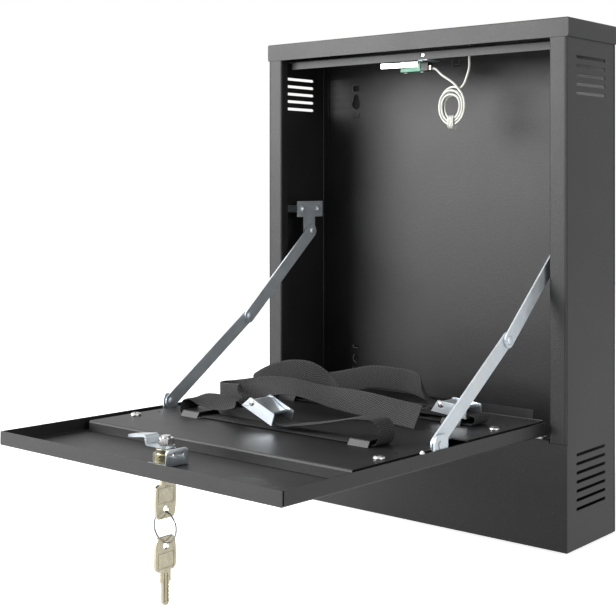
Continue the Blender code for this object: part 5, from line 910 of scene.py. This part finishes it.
def bridge_pass(side, line_u, bend_shares):
    """Over the tray, under a bridge, and round the bend beyond it."""
    thick = WEBBING_THICKNESS
    over = TRAY_TOP + SEAT_GAP + thick / 2
    inner = STRAP_BRIDGE_X - STRAP_BRIDGE_LENGTH / 2
    outer = STRAP_BRIDGE_X + STRAP_BRIDGE_LENGTH / 2
    run, bulge, height = (share * WEBBING_WIDTH for share in bend_shares[:3])
    shift = bend_shares[3] * TRAY_LENGTH
    stations = [(inner - STRAP_BRIDGE_LENGTH, line_u, over), (inner, line_u, over),
                (outer + run - thick, line_u, over)]
    for turn in BEND_TURNS_DEG:
        angle = math.radians(turn)
        risen = (1 + math.sin(angle)) / 2
        stations.append((outer + run + bulge * math.cos(angle), line_u + shift * risen,
                         over + height * risen))
    return [Vector((side * x, u, w, 0.0)) for x, u, w in stations]


def free_run(line_u, shares):
    return [tray_station(line_u, *row) for row in shares]


def webbing_stations(route):
    """Evenly spaced (place, direction, lean) along a strap, a few for each weft thread."""
    fine = flowing([station.xyz for station in route])
    leans = [first.w + (second.w - first.w) * step / CURVE_STEPS
             for first, second in zip(route, route[1:]) for step in range(CURVE_STEPS)]
    leans.append(route[-1].w)
    count = round(route_length(fine) / WEFT_PITCH * ROWS_PER_WEFT)
    spots, tilts = [], []
    for j, share in evenly(fine, count + 1):
        spots.append(fine[j].lerp(fine[j + 1], share))
        tilts.append(leans[j] + (leans[j + 1] - leans[j]) * share)
    stations = []
    for i, spot in enumerate(spots):
        near = tilts[max(i - LEAN_SMOOTHING, 0):i + LEAN_SMOOTHING + 1]
        ahead = spots[min(i + 1, count)] - spots[max(i - 1, 0)]
        stations.append((spot, ahead.normalized(), math.radians(sum(near) / len(near))))
    return stations


def webbing_profile():
    """Half thickness of the webbing at each warp column, thinner and round at the selvedges."""
    profile = []
    for j in range(WARP_COLUMNS + 1):
        across = 1 - 2 * j / WARP_COLUMNS
        past = max(abs(across) - SELVEDGE_START, 0.0) / (1 - SELVEDGE_START)
        round_off = 0.25 + 0.75 * math.sqrt(max(1 - past * past, 0.0))
        profile.append((across, (WEBBING_THICKNESS / 2 - WEAVE_DEPTH) * round_off))
    return profile


def make_webbing(name, route, node):
    """Woven webbing: warp bundles and weft threads stand out in a staggered weave."""
    profile = webbing_profile()
    columns = len(profile)
    points, relief = [], []
    stations = webbing_stations(route)
    for row, (spot, ahead, lean) in enumerate(stations):
        swell = math.sin(math.pi * (row + 0.5) / ROWS_PER_WEFT)
        across = Vector((0.0, math.cos(lean), math.sin(lean)))
        across = (across - ahead * across.dot(ahead)).normalized()
        out = ahead.cross(across).normalized()
        for face in (1, -1):
            order = profile if face > 0 else profile[::-1]
            for j, (share, thick) in enumerate(order):
                edge = j in (0, columns - 1)
                lift = 0.0 if edge else (swell if j % 2 else -swell)
                height = face * (thick + lift * WEAVE_DEPTH)
                place = spot + across * (share * WEBBING_WIDTH / 2) + out * height
                points.append(in_door(*place))
                # this relief also sets the webbing's painted highlight on crests and painted shade
                # in gaps
                relief.append(0.5 + 0.5 * lift)
    around = 2 * columns
    faces = []
    for row in range(len(stations) - 1):
        start = row * around
        for j in range(around):
            k = (j + 1) % around
            faces.append((start + j, start + k, start + around + k, start + around + j))
    faces.append(tuple(range(around))[::-1])
    faces.append(tuple(range(len(points) - around, len(points))))
    mesh = bpy.data.meshes.new(name)
    mesh.from_pydata(points, [], faces)
    mesh.attributes.new("weave", "FLOAT", "POINT").data.foreach_set("value", relief)
    bm = bmesh.new()
    bm.from_mesh(mesh)
    bmesh.ops.recalc_face_normals(bm, faces=bm.faces)
    bm.to_mesh(mesh)
    bm.free()
    piece(shown(name, mesh), "black_webbing", "door", (node,), sharp=WEBBING_SHARP_DEG)


FRONT_BUCKLE = Buckle(FRONT_STRAP_U, FRONT_BUCKLE_SHARES, FRONT_BUCKLE_TILT_DEG)
REAR_BUCKLE = Buckle(REAR_STRAP_U, REAR_BUCKLE_SHARES, REAR_BUCKLE_TILT_DEG)
make_webbing("front_strap_webbing",
             bar_wrap(FRONT_BUCKLE) + free_run(FRONT_STRAP_U, FRONT_LEFT_SHARES)
             + bridge_pass(-1, FRONT_STRAP_U, FRONT_LEFT_BEND_SHARES)[::-1]
             + bridge_pass(1, FRONT_STRAP_U, FRONT_RIGHT_BEND_SHARES)
             + free_run(FRONT_STRAP_U, FRONT_RIGHT_SHARES)
             + buckle_pass(FRONT_BUCKLE) + free_run(FRONT_STRAP_U, FRONT_TAIL_SHARES),
             "strap_front")
make_webbing("rear_strap_webbing",
             bar_wrap(REAR_BUCKLE) + free_run(REAR_STRAP_U, REAR_LEFT_SHARES)
             + bridge_pass(-1, REAR_STRAP_U, REAR_LEFT_BEND_SHARES)[::-1]
             + bridge_pass(1, REAR_STRAP_U, REAR_RIGHT_BEND_SHARES) + buckle_pass(REAR_BUCKLE)
             + free_run(REAR_STRAP_U, REAR_TAIL_SHARES),
             "strap_rear")


# Cam buckle levers


def make_buckle_lever(word, buckle):
    """The toothed cam with its thumb plate, whose far edge curls up, and its pin."""
    pin_a, pin_c = BUCKLE_PIN
    radius, reach, thick = BUCKLE_CAM_RADIUS, BUCKLE_LEVER_REACH, BUCKLE_LEVER_THICKNESS
    tail = radius - BUCKLE_LEVER_DROP
    curl = LEVER_CURL_RADIUS
    outline = []
    for i in range(LEVER_SWEEP_STEPS + 1):
        angle = math.radians(90 + LEVER_SWEEP_DEG * i / LEVER_SWEEP_STEPS)
        tooth = LEVER_TOOTH_DEPTH * (i % 4 > 1) if i > LEVER_PLAIN_STEPS else 0.0
        outline.append(((radius - tooth) * math.cos(angle), (radius - tooth) * math.sin(angle)))
    outline += [(radius * 1.3, -thick / 3), (radius * 1.6, tail - thick)]
    centre = (reach - curl, tail - thick + curl)
    outline += arc(centre, curl, 270, 360, 8)
    outline += arc((reach - thick / 2, tail + BUCKLE_LIP_HEIGHT - thick / 2), thick / 2, 0, 180, 6)
    outline += arc(centre, curl - thick, 360, 270, 6)
    outline += [(reach * 0.62, tail + thick * 0.1), (reach * 0.34, tail + thick * 0.75),
                (radius * 0.8, radius * 0.93)]
    half = WEBBING_WIDTH / 2 - SEAT_GAP

    def place(a, b, c):
        return buckle.place(pin_a + a, b, pin_c + c)

    bm = bmesh.new()
    extrude(bm, [outline], "y", -half, half, place)
    lever = plain_object("buckle_thumb_lever_" + word, bm)
    piece(lever, "zinc_plated_steel", "buckle_lever_" + word, ("buckle_lever_" + word,),
          soft=LEVER_SOFT_EDGE)
    pin = bmesh.new()
    head = WEBBING_WIDTH / 2 + BUCKLE_SIDE_GAP + BUCKLE_PLATE + SEAT_GAP
    for side in (-1, 1):
        profile = [(0, 0), (0, BUCKLE_PIN_RADIUS), (head, BUCKLE_PIN_RADIUS),
                   (head, BUCKLE_PIN_HEAD_RADIUS)]
        profile += dome(head, head + BUCKLE_PIN_HEAD_HEIGHT, BUCKLE_PIN_HEAD_RADIUS)[1:]
        turned(pin, [(side * along, size) for along, size in profile], "y", (0.0, 0.0), 32, place)
    piece(("buckle_lever_pin_" + word, pin), "bright_steel", "buckle_lever_" + word)


make_buckle_lever("front", FRONT_BUCKLE)
make_buckle_lever("rear", REAR_BUCKLE)


# Tray screws


def cross_arm(x, u, heading, half, top):
    """One arm of a screw's cross recess, as a solid to cut with."""
    along = Vector((math.cos(heading), math.sin(heading)))
    aside = Vector((-along.y, along.x))
    reach = TRAY_SCREW_HEAD_RADIUS * CROSS_REACH_SHARE

    def place(a, b, c):
        spot = Vector((x, u)) + along * a + aside * b
        return in_door(spot.x, spot.y, c)

    tool = bmesh.new()
    box(tool, (-reach, reach), (-half, half), (top - CROSS_DEPTH, top + CUT_OVERRUN), place)
    return tool


def make_tray_screws():
    """Pan heads with a cross recess and a thin washer face."""
    edge = TRAY_HALF_WIDTH - TRAY_SCREW_INSET
    spots = [(side * edge, u) for side in (-1, 1) for u in TRAY_SCREW_US]
    radius = TRAY_SCREW_HEAD_RADIUS
    low = TRAY_TOP - TRAY_SCREW_REACH
    base = TRAY_TOP + SEAT_GAP
    washer = base + SCREW_WASHER_HEIGHT
    top = base + TRAY_SCREW_HEAD_HEIGHT
    for number, (x, u) in enumerate(spots, 1):
        profile = [(low, 0), (low, TRAY_SCREW_RADIUS), (base, TRAY_SCREW_RADIUS), (base, radius),
                   (washer, radius)] + dome(washer, top, radius * SCREW_DOME_SHARE, 8)
        bm = bmesh.new()
        turned(bm, profile, "z", (x, u), 40)
        screw = plain_object(f"tray_cross_screw_{number}", bm)
        turn = math.radians(CROSS_TURNS_DEG[number - 1])
        for quarter, share in enumerate(CROSS_ARM_SHARES):
            carve(screw, cross_arm(x, u, turn + quarter * math.pi / 2, CROSS_HALF_WIDTH * share,
                                   top))
        piece(screw, "bright_steel", "door", (f"tray_screw_{number}",))


make_tray_screws()


# Keys and split ring


def in_key(origin_w):
    """Places the inserted key's points, which point down from its bow's end, blade up."""
    def place(x, y, z):
        return in_door(x, LOCK_U + y, origin_w - z)

    return place


def make_key(name, node, body, place):
    """A flat key with a milled blade, a scored bow and its hole."""
    outline, back = [], []
    for down, half in KEY_BOW_WIDTH_SHARES:
        outline.append((half * KEY_BOW_WIDTH, -down * KEY_BOW_LENGTH))
        back.append((-half * KEY_BOW_WIDTH, -down * KEY_BOW_LENGTH))
    neck_end = KEY_BOW_LENGTH + KEY_NECK_LENGTH
    neck = KEY_NECK_WIDTH / 2
    blade = KEY_BLADE_WIDTH / 2
    blade_length = KEY_LENGTH - neck_end
    outline += [(neck, -KEY_BOW_LENGTH), (neck, -neck_end), (blade, -neck_end)]
    for share in KEY_CUT_SHARES:
        top = -neck_end - share * blade_length
        outline += [(blade, top + KEY_CUT_DEPTH), (blade - KEY_CUT_DEPTH, top),
                    (blade, top - KEY_CUT_DEPTH)]
    outline += [(blade, -KEY_LENGTH + blade / 2), (blade / 2, -KEY_LENGTH),
                (-blade / 2, -KEY_LENGTH), (-blade, -KEY_LENGTH + blade / 2),
                (-blade, -neck_end), (-neck, -neck_end), (-neck, -KEY_BOW_LENGTH)]
    outline += back[::-1]
    hole = circle((0.0, -KEY_HOLE_INSET), KEY_HOLE_RADIUS, 32)
    bm = bmesh.new()
    thick = KEY_THICKNESS / 2
    extrude(bm, [outline, hole], "x", -thick, thick, place)
    key = plain_object(name, bm)
    groove_loops = [[(y0, z0), (y1, z0), (y1, z1), (y0, z1)] for y0, y1, z0, z1 in KEY_GROOVES]
    batches = [(groove_loops, KEY_GROOVE_DEPTH)]
    for lines in KEY_SCORE_BATCHES:
        loops = []
        for first, second in lines:
            a, b = Vector(first), Vector(second)
            side = Vector((a.y - b.y, b.x - a.x)).normalized() * KEY_SCORE_WIDTH / 2
            loops.append([tuple(a - side), tuple(b - side), tuple(b + side), tuple(a + side)])
        batches.append((loops, KEY_SCORE_DEPTH))
    for loops, depth in batches:
        tool = bmesh.new()
        for face in (-1, 1):
            deep = sorted((face * (thick - depth), face * (thick + depth)))
            for loop in loops:
                extrude(tool, [loop], "x", *deep, place)
        carve(key, tool)
    piece(key, "nickel_silver", body, (node,))


def make_keys():
    """The key in the lock, the split ring through its bow and the spare key on the ring."""
    bow_end = KEY_BOW_TOP_DROP + KEY_BOW_LENGTH
    make_key("key_in_lock", "inserted_key", "lock_core", in_key(-bow_end))
    hole_w = -bow_end + KEY_HOLE_INSET
    rest = KEY_HOLE_RADIUS - KEY_RING_WIRE - SEAT_GAP
    hang = in_door(0.0, LOCK_U, hole_w - rest)
    points = []
    total = round(RING_TURNS * RING_POINTS_PER_TURN)
    for i in range(total + 1):
        angle = 2 * math.pi * i / RING_POINTS_PER_TURN + RING_START
        step = RING_SPREAD * (i / total - 0.5)
        points.append(hang + Vector((KEY_RING_RADIUS * math.cos(angle), step,
                                     -KEY_RING_RADIUS + KEY_RING_RADIUS * math.sin(angle))))
    ring = wire("key_split_ring", points, RING_WIRE_RADIUS, "ring_steel")
    stands_for(ring, "key_ring", ("key_ring",))
    spare = hang + Vector((0.0, 0.0, -2 * KEY_RING_RADIUS + KEY_HOLE_INSET - rest))

    def in_spare(x, y, z):
        return spare + Vector((x, y, z))

    make_key("spare_flat_key", "spare_key", "spare_key", in_spare)


make_keys()


# Lock


def from_node(name, node):
    """A new object with a copy of a CAD node's mesh, to carve finer detail into."""
    return shown(name, NODES[node].data.copy())


def ridges(start, end, crest, root, pitch):
    """Profile points of turned thread ridges from one level to the other."""
    count = max(round((end - start) / pitch), 1)
    step = (end - start) / count
    points = []
    for i in range(count):
        low = start + i * step
        points += [(low, root), (low + 0.30 * step, crest), (low + 0.62 * step, crest),
                   (low + 0.92 * step, root)]
    return points


def make_lock():
    """Threaded barrel, pierced clip and threaded plug tail."""
    face = -SEAT_GAP - LOCK_HEAD_HEIGHT
    clip_low = SHEET + SEAT_GAP
    groove_top = clip_low + CLIP_THICKNESS + 2 * SEAT_GAP
    bore = PLUG_RADIUS + SEAT_GAP
    edge = LOCK_HEAD_HEIGHT / 2
    profile = [(face, bore), (face, LOCK_HEAD_RADIUS - edge)]
    profile += [(face + edge - edge * math.cos(math.radians(angle)),
                 LOCK_HEAD_RADIUS - edge + edge * math.sin(math.radians(angle)))
                for angle in (30, 60, 90)]
    profile += [(-SEAT_GAP, LOCK_HEAD_RADIUS), (-SEAT_GAP, LOCK_BARREL_RADIUS),
                (clip_low, LOCK_BARREL_RADIUS), (clip_low, LOCK_GROOVE_RADIUS),
                (groove_top, LOCK_GROOVE_RADIUS)]
    profile += ridges(groove_top, LOCK_BARREL_TOP_W, LOCK_BARREL_RADIUS,
                      LOCK_BARREL_RADIUS - THREAD_DEPTH, BARREL_THREAD_PITCH)
    profile += [(LOCK_BARREL_TOP_W, LOCK_NECK_RADIUS),
                (LOCK_NECK_TOP_W - THREAD_DEPTH, LOCK_NECK_RADIUS),
                (LOCK_NECK_TOP_W, LOCK_NECK_RADIUS - THREAD_DEPTH), (LOCK_NECK_TOP_W, bore)]
    bm = bmesh.new()
    turned(bm, profile, "z", (0.0, LOCK_U), 56, closed=True)
    piece(("lock_barrel_threaded", bm), "brass_barrel", "door", ("lock_barrel",))
    clip = from_node("lock_clip_pierced", "lock_clip")
    holes = bmesh.new()
    for shift, height, radius in CLIP_HOLES:
        near, far = CLIP_CUT
        turned(holes, [(near, 0), (near, radius), (far, radius), (far, 0)], "x",
               (LOCK_U + shift, height), 24)
    carve(clip, holes)
    piece(clip, "zinc_plated_steel", "door", ("lock_clip",), soft=CLIP_SOFT_EDGE)
    tail = bmesh.new()
    start, end = TAIL_THREAD_START_W, PLUG_TAIL_TOP_W
    core = PLUG_TAIL_RADIUS * TAIL_CORE_SHARE
    turned(tail, [(start, core)]
           + ridges(start, end, PLUG_TAIL_RADIUS + THREAD_DEPTH / 2,
                    PLUG_TAIL_RADIUS - TAIL_ROOT_DROP, TAIL_THREAD_PITCH)
           + [(end, core)], "z", (0.0, LOCK_U), 32, closed=True)
    piece(("plug_tail_thread", tail), "bright_steel", "lock_core")


make_lock()


# Switch terminals and the wrap round the coil


def make_terminal_tabs():
    x0, y0, z0 = TERMINAL_TAB_PLACE
    length, width, thick = TERMINAL_TAB_SIZE
    for number in range(TERMINAL_TAB_COUNT):
        bm = bmesh.new()
        y = y0 + number * TERMINAL_TAB_PITCH
        box(bm, (x0, x0 + length), (y, y + thick), (z0, z0 + width), in_cabinet)
        piece((f"terminal_tab_{number + 1}", bm), "nickel_silver", "cabinet",
              soft=TERMINAL_SOFT_EDGE)


def make_coil_wrap():
    """A band wound round the foot of the coil, in place of a tie."""
    radius = LEAD_DIAMETER / 2
    drawn = COIL_PITCH * COIL_TURNS / 2
    foot = COIL_CENTRE[1] - COIL_HALF_SIZE[1]
    low, high = foot - radius - SEAT_GAP, foot + drawn + radius + 2 * SEAT_GAP
    half_y = COIL_LAYER_STEP / 2 + radius + SEAT_GAP + WRAP_RADIUS
    half_z = (high - low) / 2 + WRAP_RADIUS
    centre_y = LEAD_Y + COIL_LAYER_STEP / 2
    points = []
    count = round(WRAP_TURNS * WRAP_POINTS_PER_TURN)
    for i in range(count + 1):
        turn = 2 * math.pi * i / WRAP_POINTS_PER_TURN
        cos, sin = (math.copysign(abs(side) ** WRAP_ROUNDNESS, side)
                    for side in (math.cos(turn), math.sin(turn)))
        across = WRAP_SPREAD * (i / count - 0.5)
        points.append(in_cabinet(COIL_CENTRE[0] + across,
                                 centre_y + half_y * cos, (low + high) / 2 + half_z * sin))
    wrap = wire("coil_wrap", points, WRAP_RADIUS, "tie_white")
    stands_for(wrap, "cabinet", ("lead_tie",))


make_terminal_tabs()
make_coil_wrap()
make_lead()


# Softened edges on the pieces that keep their CAD mesh


def soften_cad_nodes():
    for entry in frame["record"]["subparts"]:
        node = entry["node"]
        width = SOFT_EDGES.get(entry["material_slot"])
        if width and node not in REPLACED:
            soften(NODES[node], width)


soften_cad_nodes()


# Painted shade behind the back panel's holes: a dark plate that only the camera sees


def make_hole_shade_plate():
    """A dark plate of painted shade, seen only from the front, through the fixing holes; every
    other ray passes through it.
    """
    x, z = HOLE_SHADE_HALF_SIZE
    # painted shade: near-black colour shown through the holes, transparent to all rays but the
    # camera's
    look = Look("painted_hole_shade", (0.006, 0.006, 0.006), 0.9)
    behind = look.add("NewGeometry").outputs["Backfacing"]
    seen = look.add("LightPath").outputs["Is Camera Ray"]
    hidden = look.math("MAXIMUM", behind, look.math("SUBTRACT", 1.0, seen))
    clear = look.add("BsdfTransparent")
    look.ends_in(look.add("MixShader", {0: hidden, 1: look.shader.outputs[0],
                                        2: clear.outputs[0]}))
    stage_plate("wall_shade", [(-x, HOLE_SHADE_Y, -z), (x, HOLE_SHADE_Y, -z),
                               (x, HOLE_SHADE_Y, z), (-x, HOLE_SHADE_Y, z)], look)


make_hole_shade_plate()


bpy.context.scene.view_settings.view_transform = "Standard"
